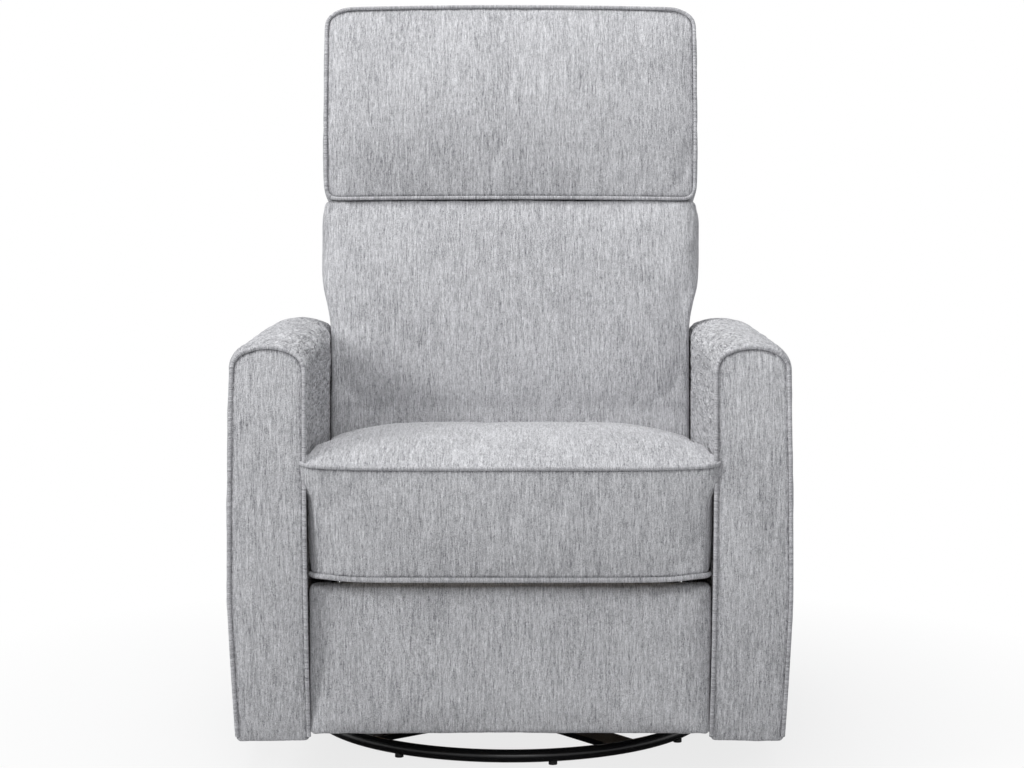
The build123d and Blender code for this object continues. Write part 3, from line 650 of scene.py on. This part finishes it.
def wrinkle(piece, depth, size, stretch=(1, 1, 1), where=None, seed=0.0):
    """Moves the skin in and out by a soft noise. where gives each point's share of it."""
    mesh = piece.data
    points = read_points(mesh)
    normals = read_normals(mesh)
    share = np.ones(len(points)) if where is None else where(points, normals)
    scaled = points * np.array(stretch) / size + seed
    spots = zip(scaled, share)
    amount = np.array([noise.fractal(Vector(p), 0.7, 2.1, 3) if s > 0.01 else 0.0 for p, s in spots])
    write_points(mesh, points + normals * (amount * share * depth)[:, None])


def tuck(piece, line, gathers, wave=14.0, reach=16.0):
    """Draws the skin in along a seam, with gathers that run away from it, and stores in the seam
    attribute how much painted shade darkens the pile there.
    """
    mesh = piece.data
    points = read_points(mesh)
    normals = read_normals(mesh)
    seam = np.asarray(line)
    if "seam" not in mesh.attributes:
        mesh.attributes.new("seam", "FLOAT", "POINT")
    shade = np.zeros(len(points), dtype=np.float32)
    mesh.attributes["seam"].data.foreach_get("value", shade)
    steps = np.linalg.norm(np.diff(seam, axis=0), axis=1)
    run = np.concatenate([[0.0], np.cumsum(steps)])
    low, high = seam.min(0) - reach, seam.max(0) + reach
    near = np.where(((points > low) & (points < high)).all(1))[0]
    shift = np.zeros(len(points))
    for number in near:
        gaps = np.linalg.norm(seam - points[number], axis=1)
        best = int(gaps.argmin())
        if gaps[best] < reach:
            fade = (1 - gaps[best] / reach) ** 1.5
            shift[number] = gathers * fade * noise.noise(Vector((run[best] / wave, 3.7, 0.0)))
        if gaps[best] < SEAM_LIP:
            near_seam = 1 - gaps[best] / SEAM_LIP
            shift[number] -= SEAM_GROOVE * near_seam
            # Painted shade along the seam, strongest on it and gone at the lip.
            shade[number] = max(shade[number], near_seam)
    write_points(mesh, points + normals * shift[:, None])
    mesh.attributes["seam"].data.foreach_set("value", shade)


def lean_back(points):
    """From the back's own upright coordinates to its place on the chair."""
    place = Matrix.Translation(BACK_PIVOT) @ Matrix.Rotation(math.radians(-BACK_LEAN), 4, "X")
    turn = np.array(place.to_3x3())
    return np.asarray(points) @ turn.T + np.array(BACK_PIVOT)


# ---------------------------------------------------------------- welts, with Geometry Nodes
def welt_tree():
    """Tree that wraps a tube of chenille along a seam line."""
    known = bpy.data.node_groups.get("Welt along a seam")
    if known:
        return known
    group = bpy.data.node_groups.new("Welt along a seam", "GeometryNodeTree")
    given = (("Seam", "Geometry"), ("Radius", "Float"), ("Step", "Float"), ("Cover", "Material"))
    for name, kind in given:
        group.interface.new_socket(name, in_out="INPUT", socket_type="NodeSocket" + kind)
    group.interface.new_socket("Welt", in_out="OUTPUT", socket_type="NodeSocketGeometry")
    tree = NodeTree(group)
    seam, radius, step, cover = tree.outputs(tree.node("NodeGroupInput"))[:4]
    even = tree.node("GeometryNodeResampleCurve", {"mode": "LENGTH"}, {"Curve": seam, "Length": step})
    run = tree.node("GeometryNodeSplineParameter", output="Length")
    marks = {"Geometry": even, "Name": "along", "Value": run}
    marked = tree.node("GeometryNodeStoreNamedAttribute", {"data_type": "FLOAT"}, marks)
    ring = tree.node("GeometryNodeCurvePrimitiveCircle", None, {"Resolution": 10, "Radius": radius})
    sweep = {"Curve": marked, "Profile Curve": ring, "Fill Caps": True}
    tube = tree.node("GeometryNodeCurveToMesh", None, sweep)
    smooth = tree.node("GeometryNodeSetShadeSmooth", None, {"Geometry": tube})
    real = tree.node("GeometryNodeRealizeInstances", None, {"Geometry": smooth})
    painted = tree.node("GeometryNodeSetMaterial", None, {"Geometry": real, "Material": cover})
    tree.node("NodeGroupOutput", None, {"Welt": painted})
    return group


def smooth_line(points, closed, rounds=2):
    """Evens out a line of points a little."""
    line = np.asarray(points, float)
    for _ in range(rounds):
        if closed:
            line = (np.roll(line, 1, 0) + 2 * line + np.roll(line, -1, 0)) / 4
        else:
            line[1:-1] = (line[:-2] + 2 * line[1:-1] + line[2:]) / 4
    return line


def make_welt(name, lines, radius, body):
    """Welt along one or more seam lines, each (points in millimetres, closed)."""
    curve = bpy.data.curves.new(name, "CURVE")
    curve.dimensions = "3D"
    for points, closed in lines:
        spline = curve.splines.new("POLY")
        spline.points.add(len(points) - 1)
        spline.points.foreach_set("co", [part for p in np.asarray(points) * MM for part in (*p, 1.0)])
        spline.use_cyclic_u = closed
    seam = bpy.data.objects.new(name + "_seam", curve)
    bpy.context.scene.collection.objects.link(seam)
    tree = welt_tree()
    work = seam.modifiers.new("Welt", "NODES")
    work.node_group = tree
    values = {"Radius": radius, "Step": WELT_STEP, "Cover": material("chenille_welt")}
    for item in tree.interface.items_tree:
        if item.in_out == "INPUT" and item.name in values:
            work[item.identifier] = values[item.name]
    depsgraph = bpy.context.evaluated_depsgraph_get()
    mesh = bpy.data.meshes.new_from_object(seam.evaluated_get(depsgraph))
    mesh.name = name
    bpy.data.objects.remove(seam)
    welt = bpy.data.objects.new(name, mesh)
    bpy.context.scene.collection.objects.link(welt)
    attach(welt, body)
    return welt


def material(name):
    """A finish by name, made the first time that it is asked for."""
    known = bpy.data.materials.get(name)
    if known:
        return known
    colours = bpy.context.scene.recliner_colours
    makers = {
        "chenille": chenille,
        "chenille_arm": crushed_chenille,
        "chenille_welt": welt_chenille,
        "base_paint": lambda: gloss_paint("base_paint", colours.base_paint, 0.24),
        "mechanism_paint": lambda: gloss_paint("mechanism_paint", (0.02, 0.02, 0.021), 0.42),
        "plated_steel": plated_steel,
        "timber": timber,
        "foot_plastic": lambda: moulded_plastic("foot_plastic", (0.02, 0.02, 0.02)),
        "bearing_plastic": lambda: moulded_plastic("bearing_plastic", (0.55, 0.55, 0.52)),
    }
    return makers[name]()


def finish_cover(piece, body, *nodes, fill=0.9):
    """Hangs a finished padded cover on its body and hides the modelled parts that it covers."""
    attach(piece, body)
    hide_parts(*nodes)


def crown(u, w, power=2.6):
    """1 in the middle of a panel, 0 at its edges."""
    return (1 - abs(2 * u - 1) ** power) * (1 - abs(2 * w - 1) ** power)


def blend(value, low, high):
    """0 below low, 1 above high, smooth between."""
    t = min(max((value - low) / (high - low), 0.0), 1.0)
    return t * t * (3 - 2 * t)


def back_half_width(z):
    """Half of the back's width, which passes between the arms lower down."""
    if z < WAIST_HEIGHT:
        share = (z - LUMBAR_LOW) / (WAIST_HEIGHT - LUMBAR_LOW)
        return BACK_FOOT_HALF + (BACK_WAIST_HALF - BACK_FOOT_HALF) * share
    return BACK_WAIST_HALF + BACK_SHOULDER * blend(z, WAIST_HEIGHT, SHOULDER_HEIGHT)


def lumbar_half_width(z):
    """The lumbar cushion fills the space between the arms and then follows the back."""
    return back_half_width(z) + 2.6 - 2.6 * blend(z, 60, 200) + 0.5 * blend(z, 260, 330)


def corner_inset(z, low, high, low_radius, high_radius):
    """How far rounded corners draw in the side of a panel at one height."""
    inset = 0.0
    for gap, radius in ((z - low, low_radius), (high - z, high_radius)):
        if gap < radius:
            inset += radius - math.sqrt(max(radius**2 - (radius - gap) ** 2, 0.0))
    return inset


# ---------------------------------------------------------------- pieces
class RECLINER_OT_head_cushion(bpy.types.Operator):
    """Head cushion, with a welt all round its front face"""

    bl_idname = "recliner.head_cushion"
    bl_label = "Head cushion"

    def execute(self, context):
        counts = (84, 18, 46)
        low, high = HEAD_SEAM + 1.5, BACK_TOP + 1

        def place(u, v, w):
            z = low + (high - low) * w
            half = HEAD_HALF - corner_inset(z, low, high, 7, BACK_CORNER) - 2 * (1 - w) ** 6
            x = (2 * u - 1) * half
            front = CUSHION_FRONT - 9 * math.sin(math.pi * w) - 8 * crown(u, w)
            y = CUSHION_REAR + (front - CUSHION_REAR) * (1 - v)
            z += (1 - (2 * u - 1) ** 2) * (3.5 * w**4 + 2.0 * (1 - w) ** 4)
            return (x, y, z)

        points, faces, index = box_grid(counts, place)
        piece = new_object("head_cushion_cover", points, faces, material("chenille"))
        loop = front_loop(index, counts)
        rear = [n for (_, j, k), n in index.items() if j == counts[1] or (k == 0 and j > 1)]
        swell(piece, set(loop) | set(rear), 9.0)
        seam = smooth_line(read_points(piece.data)[loop] + [0, -1.2, 0], True)
        soften(piece)
        sizes = context.scene.recliner_sizes
        wrinkle(piece, 1.1, 70.0, (1.0, 1.0, 0.6), seed=3.1)
        tuck(piece, seam, 1.3)
        write_points(piece.data, lean_back(read_points(piece.data)))
        finish_cover(piece, "back", "head_cushion")
        make_welt("head_cushion_welt", [(lean_back(seam), True)], sizes.welt_radius, "back")
        return {"FINISHED"}


class RECLINER_OT_lumbar_cushion(bpy.types.Operator):
    """Lumbar cushion, plain-edged, below the head cushion"""

    bl_idname = "recliner.lumbar_cushion"
    bl_label = "Lumbar cushion"

    def execute(self, context):
        counts = (84, 20, 58)
        low, high = LUMBAR_LOW, HEAD_SEAM + 0.5
        half_width = 282.5
        box_low, box_high = (-half_width, CUSHION_FRONT, low), (half_width, CUSHION_REAR, high)

        def place(u, v, w):
            x, y, z = rounded(in_box(box_low, box_high, (u, v, w)), box_low, box_high, 9)
            y -= (5 * crown(u, w, 2.4) + 9 * math.sin(math.pi * w)) * (1 - v)
            x *= lumbar_half_width(z) / 281
            z += 1.2 * (1 - (2 * u - 1) ** 2) * w**8
            return (x, y, z)

        points, faces, _ = box_grid(counts, place)
        piece = new_object("lumbar_cushion_cover", points, faces, material("chenille"))
        held = [
            number
            for number, (x, y, z) in enumerate(points)
            if y > 5 or z < 130 or z > high - 4 or (abs(x) > 250 and z < 288)
        ]
        swell(piece, held, 7.0)
        soften(piece)
        wrinkle(piece, 1.6, 85.0, (1.0, 1.0, 0.55), seed=11.3)
        write_points(piece.data, lean_back(read_points(piece.data)))
        finish_cover(piece, "back", "lumbar_cushion")
        return {"FINISHED"}


class RECLINER_OT_back_shell(bpy.types.Operator):
    """Padded sides and rear of the back, with a welt round the rear panel"""

    bl_idname = "recliner.back_shell"
    bl_label = "Back shell"

    def execute(self, context):
        counts = (72, 12, 84)
        front, rear = CUSHION_REAR + 0.5, BACK_REAR - 3

        def place(u, v, w):
            inside = abs(2 * u - 1) < POCKET_SHARE and v < 0.9
            low = POCKET_TOP if inside else SHELL_LOW
            z = low + (BACK_TOP - low) * w
            inset = corner_inset(z, SHELL_LOW, BACK_TOP, 0.1, BACK_CORNER)
            x = (2 * u - 1) * (back_half_width(z) + 0.3 - inset)
            y = front + (rear - front) * v + 3 * crown(u, w, 6.0) * v
            return (x, y, z)

        points, faces, index = box_grid(counts, place)
        piece = new_object("back_shell_cover", points, faces, material("chenille"))
        across, deep, tall = counts
        loop = [index[0, deep, k] for k in range(tall)]
        loop += [index[i, deep, tall] for i in range(across)]
        loop += [index[across, deep, k] for k in range(tall, -1, -1)]
        held = set(loop) | {n for (i, j, k), n in index.items() if j < 2 or k < 3}
        swell(piece, held, 4.0, pressure=2.5)
        seam = smooth_line(read_points(piece.data)[loop] + [0, 0.5, 0], False)
        soften(piece)
        wrinkle(piece, 0.9, 110.0, (1.0, 1.0, 0.6), seed=21.9)
        tuck(piece, seam, 0.9)
        write_points(piece.data, lean_back(read_points(piece.data)))
        finish_cover(piece, "back", "back_borders", "outside_back_panel")
        sizes = context.scene.recliner_sizes
        make_welt("back_shell_welt", [(lean_back(seam), False)], sizes.welt_radius, "back")
        return {"FINISHED"}


def arm_front(z):
    """Y of the arm's scooped front at one height."""
    middle_y, middle_z = ARM_BULGE
    end_y, end_z = ARM_SCOOP_LOW if z < middle_z else ARM_SCOOP_HIGH
    run, rise = end_y - middle_y, abs(end_z - middle_z)
    radius = (rise**2 + run**2) / (2 * run)
    height = min(abs(z - middle_z), radius)
    return middle_y + radius - math.sqrt(radius**2 - height**2)


def arm_section():
    """Outline of the right arm's front, from the inner foot over the arch to the outer foot."""
    low = ARM_LOW_Z
    foot = arc((273, low), (268, low + 2), (266, low + 7), 3)
    inner = foot + straight((266, low + 7), (269, 558), 52)
    inner += arc((269, 558), (271.8, 572), (280, 581.5), 8)
    arch = arc((280, 581.5), (320, 591.5), (354, 583.5), 24)
    outer = arc((354, 583.5), (364.5, 573), (368, 556), 9)
    outer += straight((368, 556), (371, 260), 31) + straight((371, 260), (365, low + 7), 20)
    outer += arc((365, low + 7), (363, low + 2), (358, low), 3) + [(358, low)]
    return inner + arch + outer


def arm_pinch(depth, length):
    """How far the arm's skin lies inside its outline; the ends are drawn in and the rest bulges."""
    return 7.0 * math.exp(-depth / 17) + 12.0 * math.exp(-(length - depth) / 18) - 4.5


def pinch_share(x, z, pinch, near_rear):
    """Share of the pinch at one place of the section, so that the inner side clears the seat."""
    if x > 282:
        return 1.0
    if pinch <= 0:
        return 0.4 * blend(z, 555, 585)
    return 1.4 if near_rear else 0.5 + 0.5 * blend(z, 550, 578)


def arm_grid():
    """Points and faces of the right arm: cover, front panel and rear panel in one skin."""
    outline = np.array(arm_section())
    under = straight((358, ARM_LOW_Z), (273, ARM_LOW_Z), 10)[1:]
    ring = np.vstack([outline, under])
    run = np.roll(ring, -1, 0) - np.roll(ring, 1, 0)
    outward = np.stack([-run[:, 1], run[:, 0]], 1)
    outward /= np.linalg.norm(outward, axis=1)[:, None]
    count = len(ring)
    depths = np.concatenate([ARM_LENGTH_STEPS, np.linspace(54, 640, 74), ARM_END_STEPS])
    length = depths[-1]
    points, faces = [], []
    for depth in depths:
        share = depth / length
        pinch = arm_pinch(depth, length)
        rise = 1.2 * math.sin(math.pi * min(share * 1.05, 1.0)) ** 0.8
        for (x, z), (out_x, out_z) in zip(ring, outward):
            front = arm_front(z)
            y = front + (ARM_REAR_Y - front) * share
            px = x - out_x * pinch * pinch_share(x, z, pinch, share > 0.5)
            pz = z - out_z * pinch * blend(z, ARM_LOW_Z, ARM_LOW_Z + 14)
            pz += rise * blend(z, 500, 575)
            pz -= ARM_FALL * (y - ARM_SCOOP_HIGH[0]) * blend(z, 300, 560)
            points.append((px, y, pz))
    for a in range(len(depths) - 1):
        for b in range(count):
            c = (b + 1) % count
            faces.append((a * count + b, a * count + c, (a + 1) * count + c, (a + 1) * count + b))
    for at_front in (True, False):
        close_end(points, faces, 0 if at_front else (len(depths) - 1) * count, count, at_front)
    return points, faces, len(outline), count, len(depths)


def close_end(points, faces, base, count, at_front):
    """Closes one end of the arm with rings that shrink onto a line and bulge a little."""
    rings = 8
    previous = range(base, base + count)
    for step in range(1, rings + 1):
        share = step / rings
        bulge = 5.0 * (1 - (1 - share) ** 2.2)
        current = range(len(points), len(points) + count)
        for x, y, z in points[base : base + count]:
            middle_z = min(max(z, 110), 535)
            px, pz = x + (317 - x) * share, z + (middle_z - z) * share
            points.append((px, arm_front(pz) - bulge * 0.6 if at_front else y + bulge * 0.3, pz))
        for b in range(count):
            c = (b + 1) % count
            quad = (previous[b], current[b], current[c], previous[c])
            faces.append(quad if at_front else quad[::-1])
        previous = current


def above_foot(line):
    """The part of a seam that stays clear of the arm's underside."""
    return np.array([spot for spot in line if spot[2] > ARM_LOW_Z + 4])


class RECLINER_OT_arms(bpy.types.Operator):
    """Both arms, with a welted front panel on each"""

    bl_idname = "recliner.arms"
    bl_label = "Arms"

    def execute(self, context):
        points, faces, shown, count, stations = arm_grid()
        sizes = context.scene.recliner_sizes
        for side, sign in (("right", 1), ("left", -1)):
            name = f"arm_{side}_upholstery"
            placed = [(x * sign, y, z) for x, y, z in points]
            turned = faces if sign < 0 else [face[::-1] for face in faces]
            piece = new_object(name, placed, turned, material("chenille_arm"))
            piece.data.materials.append(material("chenille"))
            close_skin(piece)
            is_panel = [abs(p.normal.y) > 0.8 for p in piece.data.polygons]
            piece.data.polygons.foreach_set("material_index", [int(flag) for flag in is_panel])
            last = (stations - 1) * count
            front_line = above_foot(placed[:shown]) + [0, -0.6, 0]
            rear_line = above_foot(placed[last : last + shown]) + [0, 0.6, 0]
            soften(piece)

            def outer_face(spots, normals):
                return np.clip(normals[:, 0] * sign + 0.8, 0, 1)

            def inner_face(spots, normals):
                facing = np.clip(-normals[:, 0] * sign * 2.0 - 0.6, 0, 1)
                clear = np.clip((spots[:, 2] - 452) / 40, 0, 1)
                return facing * clear

            wrinkle(piece, 1.4, 60.0, (1.0, 0.8, 0.8), outer_face, 5.0 + sign)
            wrinkle(piece, 2.4, 19.0, (1.0, 0.6, 1.0), inner_face, 9.0 + sign)
            tuck(piece, front_line, 1.0, 11.0, 18.0)
            finish_cover(piece, "carriage", f"arm_{side}_cover", f"arm_{side}_front_panel", fill=1.0)
            lines = [(smooth_line(front_line, False), False), (smooth_line(rear_line, False), False)]
            make_welt(f"arm_{side}_welt", lines, sizes.welt_radius, "carriage")
        return {"FINISHED"}


def close_skin(piece):
    """Merges doubled points and turns every face outwards."""
    skin = bmesh.new()
    skin.from_mesh(piece.data)
    bmesh.ops.remove_doubles(skin, verts=skin.verts, dist=0.05 * MM)
    bmesh.ops.recalc_face_normals(skin, faces=skin.faces)
    skin.to_mesh(piece.data)
    skin.free()


def back_front_y(z):
    """Y of the back's front face, where the seat cushion meets it."""
    lean = math.radians(BACK_LEAN)
    along = (z - BACK_PIVOT[2] - 100 * math.sin(lean)) / math.cos(lean)
    return BACK_PIVOT[1] + along * math.sin(lean) - 100 * math.cos(lean)


def profile_height(profile, y):
    """Height at one depth, straight between the points of a profile."""
    return np.interp(y, *zip(*profile))


class RECLINER_OT_seat_cushion(bpy.types.Operator):
    """Boxed seat cushion with a crowned top, a front band and its two welts"""

    bl_idname = "recliner.seat_cushion"
    bl_label = "Seat cushion"

    def execute(self, context):
        counts = (84, 66, 22)
        front_rows = len(BAND_DEPTHS)
        depth = np.concatenate([BAND_DEPTHS, np.linspace(-403, 78, counts[1] - front_rows + 1)])

        def place(u, v, w):
            number = round(v * counts[1])
            y = depth[number]
            in_band = number < front_rows
            side = 2 * u - 1
            low = BAND_LOW + 5 * abs(side) ** 10 if in_band else SEAT_UNDERSIDE
            half = SEAT_HALF + SEAT_FRONT_EXTRA * blend(-y, 388, 404)
            half -= corner_inset(y, SEAT_FRONT_Y, 100, SEAT_CORNER, 1)
            edge, middle = profile_height(SEAT_EDGE, y), profile_height(SEAT_MIDDLE, y)
            high = edge + (middle - edge) * (1 - abs(side) ** 5.5)
            z = low + (high - low) * w
            if in_band:
                forward = 1 - (y - SEAT_FRONT_Y) / 19
                half += SEAT_EAR * blend(z, 388, 421) * blend(-y, 400, 414) - 5 * (1 - w) ** 0.8
                y -= (4 * crown(u, w, 2.2) + 4.5 * blend(z, 330, 425)) * forward
            if y > -100:
                limit = back_front_y(z) - 3.5
                y = -100 + (y + 100) * (limit + 100) / 178
            return (side * half, y, z)

        points, faces, index = box_grid(counts, place)
        piece = new_object("seat_cushion_cover", points, faces, material("chenille"))
        across, deep, tall = counts
        top_line = [index[0, j, tall - min(j // 3, 2)] for j in range(deep - 4, 0, -1)]
        top_line += [index[i, 0, tall] for i in range(across + 1)]
        top_line += [index[across, j, tall - min(j // 3, 2)] for j in range(1, deep - 3)]
        low_line = [index[0, j, 0] for j in range(5, 0, -1)]
        low_line += [index[i, 0, 0] for i in range(across + 1)]
        low_line += [index[across, j, 0] for j in range(1, 6)]
        held = set(top_line) | set(low_line)
        held |= {n for (i, j, k), n in index.items() if k == 0 or j == deep or i in (0, across)}
        swell(piece, held, 8.0, pressure=3.0)
        settled = read_points(piece.data)
        top_seam = smooth_line(settled[top_line] + [0, -1.0, 0.8], False, 3)
        low_seam = smooth_line(settled[low_line] + [0, -1.0, -0.5], False)
        soften(piece)
        wrinkle(piece, 1.3, 75.0, (1.0, 0.8, 0.8), lambda s, n: 1 - np.abs(n[:, 0]), 31.0)
        tuck(piece, top_seam, 1.2)
        tuck(piece, low_seam, 0.8)
        finish_cover(piece, "seat", "seat_cushion")
        sizes = context.scene.recliner_sizes
        make_welt("seat_top_welt", [(top_seam, False)], sizes.welt_radius, "seat")
        make_welt("seat_lower_welt", [(low_seam, False)], sizes.band_welt_radius, "seat")
        return {"FINISHED"}


class RECLINER_OT_footrest_pad(bpy.types.Operator):
    """Footrest pad, plain-edged and rounded"""

    bl_idname = "recliner.footrest_pad"
    bl_label = "Footrest pad"

    def execute(self, context):
        counts = (84, 10, 36)

        def place(u, v, w):
            spot = in_box(FOOTREST_LOW, FOOTREST_HIGH, (u, v, w))
            x, y, z = rounded(spot, FOOTREST_LOW, FOOTREST_HIGH, 8)
            y -= 5 * crown(u, w, 4.0) * (1 - v)
            return (x, y, z)

        points, faces, _ = box_grid(counts, place)
        piece = new_object("footrest_cover", points, faces, material("chenille"))
        held = [n for n, (x, y, z) in enumerate(points) if y > -396 or abs(x) > 263]
        swell(piece, held, 4.0, pressure=3.0)
        soften(piece)
        wrinkle(piece, 1.0, 70.0, (1.0, 1.0, 0.7), seed=41.0)
        finish_cover(piece, "footrest", "footrest_pad")
        return {"FINISHED"}


class RECLINER_OT_rear_panel(bpy.types.Operator):
    """Panel that closes the chair below the back"""

    bl_idname = "recliner.rear_panel"
    bl_label = "Rear panel"

    def execute(self, context):
        low, high = (Vector(corner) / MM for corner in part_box("rear_lower_panel"))
        counts = (72, 6, 30)

        def place(u, v, w):
            x, y, z = rounded(in_box(low, high, (u, v, w)), low, high, 4)
            return (x * 1.012, y + 2.0 * crown(u, w, 3.0) * v, z)

        points, faces, _ = box_grid(counts, place)
        piece = new_object("rear_panel_cover", points, faces, material("chenille"))
        soften(piece)
        wrinkle(piece, 0.8, 60.0, seed=51.0)
        finish_cover(piece, "carriage", "rear_lower_panel", fill=1.0)
        return {"FINISHED"}


class RECLINER_OT_frame_finishes(bpy.types.Operator):
    """Finishes on the base, the mechanism and the timber, which keep their modelled shapes"""

    bl_idname = "recliner.frame_finishes"
    bl_label = "Frame finishes"

    def execute(self, context):
        finish_of_slot = {
            "base_gloss": "base_paint",
            "black_steel": "mechanism_paint",
            "plated_steel": "plated_steel",
            "timber": "timber",
            "feet_plastic": "foot_plastic",
            "bearing_plastic": "bearing_plastic",
            "upholstery": "chenille",
        }
        for part in frame["record"]["subparts"]:
            node = frame["nodes"][part["node"]]
            for holder in node.material_slots:
                holder.material = material(finish_of_slot[part["material_slot"]])
        return {"FINISHED"}


class RECLINER_OT_stage(bpy.types.Operator):
    """Floor, studio light and camera"""

    bl_idname = "recliner.stage"
    bl_label = "Stage"

    def execute(self, context):
        scene = context.scene
        scene.view_settings.view_transform = "Standard"
        corners = [(x * FLOOR_HALF, y * FLOOR_HALF, 0) for x, y in ((-1, -1), (1, -1), (1, 1), (-1, 1))]
        floor = new_object("studio_floor", corners, [(0, 1, 2, 3)], studio_floor_finish())
        floor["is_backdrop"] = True
        for lamp in LAMPS:
            add_lamp(*lamp)
        light_world(scene)
        lens = bpy.data.cameras.new("photo_camera")
        lens.sensor_width = SENSOR_WIDTH
        lens.lens = CAMERA_LENS
        camera = bpy.data.objects.new("photo_camera", lens)
        camera.location = CAMERA_PLACE
        camera.rotation_euler = (math.radians(90 - CAMERA_PITCH), 0, 0)
        scene.collection.objects.link(camera)
        scene.camera = camera
        return {"FINISHED"}


def studio_floor_finish():
    """White for the camera where it is lit, with the chair's shadow left in."""
    finish = new_finish("studio_floor")
    seen = finish.node("LightPath", output="Is Camera Ray")
    colour = bpy.context.scene.recliner_colours.floor
    place = finish.place()
    away = finish.node("VectorMath", {"operation": "LENGTH"}, {0: place}, output="Value")
    grain = finish.noise(place, 3.0, 2.0, 0.5)
    shade = finish.mix(grain * 0.03, rgba(colour), rgba([part * 0.97 for part in colour]))
    matt = finish.node("BsdfDiffuse", None, {"Color": shade, "Roughness": 0.5})
    white = finish.node("Emission", None, {"Color": WHITE, "Strength": 1.0})
    share = seen * (0.8 + ((away - 0.4) * 1.6).clamped() * 0.2)
    mixed = finish.node("MixShader", None, {0: share, 1: matt, 2: white})
    finish.node("OutputMaterial", None, {"Surface": mixed})
    return finish.holder


def add_lamp(name, place, target, size, power):
    """A square area lamp that faces its target."""
    data = bpy.data.lights.new(name, "AREA")
    data.shape = "SQUARE"
    data.size = size
    data.energy = power
    lamp = bpy.data.objects.new(name, data)
    lamp.location = place
    lamp.rotation_euler = (Vector(target) - Vector(place)).to_track_quat("-Z", "Y").to_euler()
    bpy.context.scene.collection.objects.link(lamp)


def light_world(scene):
    """A white backdrop for camera and reflections, and a weaker light on the object."""
    scene.world = bpy.data.worlds.new("studio")
    finish = Finish(scene.world)
    camera_ray = finish.node("LightPath", output="Is Camera Ray")
    glossy_ray = finish.node("LightPath", output="Is Glossy Ray")
    sky = finish.node("Background", None, {"Color": SKY_COLOUR, "Strength": SKY_STRENGTH})
    backdrop = finish.node("Background", None, {"Color": WHITE})
    seen = camera_ray.math("MAXIMUM", glossy_ray)
    mixed = finish.node("MixShader", None, {0: seen, 1: sky, 2: backdrop})
    finish.node("OutputWorld", None, {"Surface": mixed})


class RECLINER_PT_panel(bpy.types.Panel):
    """Lists the pieces in the sidebar"""

    bl_idname = "RECLINER_PT_panel"
    bl_label = "Recliner"
    bl_space_type = "VIEW_3D"
    bl_region_type = "UI"
    bl_category = "Recliner"

    def draw(self, context):
        for group in (context.scene.recliner_sizes, context.scene.recliner_colours):
            for name in group.__annotations__:
                self.layout.prop(group, name)
        for operator in OPERATORS:
            self.layout.operator(operator.bl_idname)


OPERATORS = (
    RECLINER_OT_frame_finishes,
    RECLINER_OT_head_cushion,
    RECLINER_OT_lumbar_cushion,
    RECLINER_OT_back_shell,
    RECLINER_OT_arms,
    RECLINER_OT_seat_cushion,
    RECLINER_OT_footrest_pad,
    RECLINER_OT_rear_panel,
    RECLINER_OT_stage,
)
CLASSES = (ReclinerSizes, ReclinerColours) + OPERATORS + (RECLINER_PT_panel,)


def register():
    for item in CLASSES:
        bpy.utils.register_class(item)
    bpy.types.Scene.recliner_sizes = bpy.props.PointerProperty(type=ReclinerSizes)
    bpy.types.Scene.recliner_colours = bpy.props.PointerProperty(type=ReclinerColours)


def unregister():
    del bpy.types.Scene.recliner_sizes
    del bpy.types.Scene.recliner_colours
    for item in reversed(CLASSES):
        bpy.utils.unregister_class(item)


def main():
    register()
    for operator in OPERATORS:
        space, name = operator.bl_idname.split(".")
        getattr(getattr(bpy.ops, space), name)()
    boxes = {"cad": cad_box, "visual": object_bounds()}
    {key: [list(corner) for corner in box] for key, box in boxes.items()}


if __name__ == "__main__":
    main()
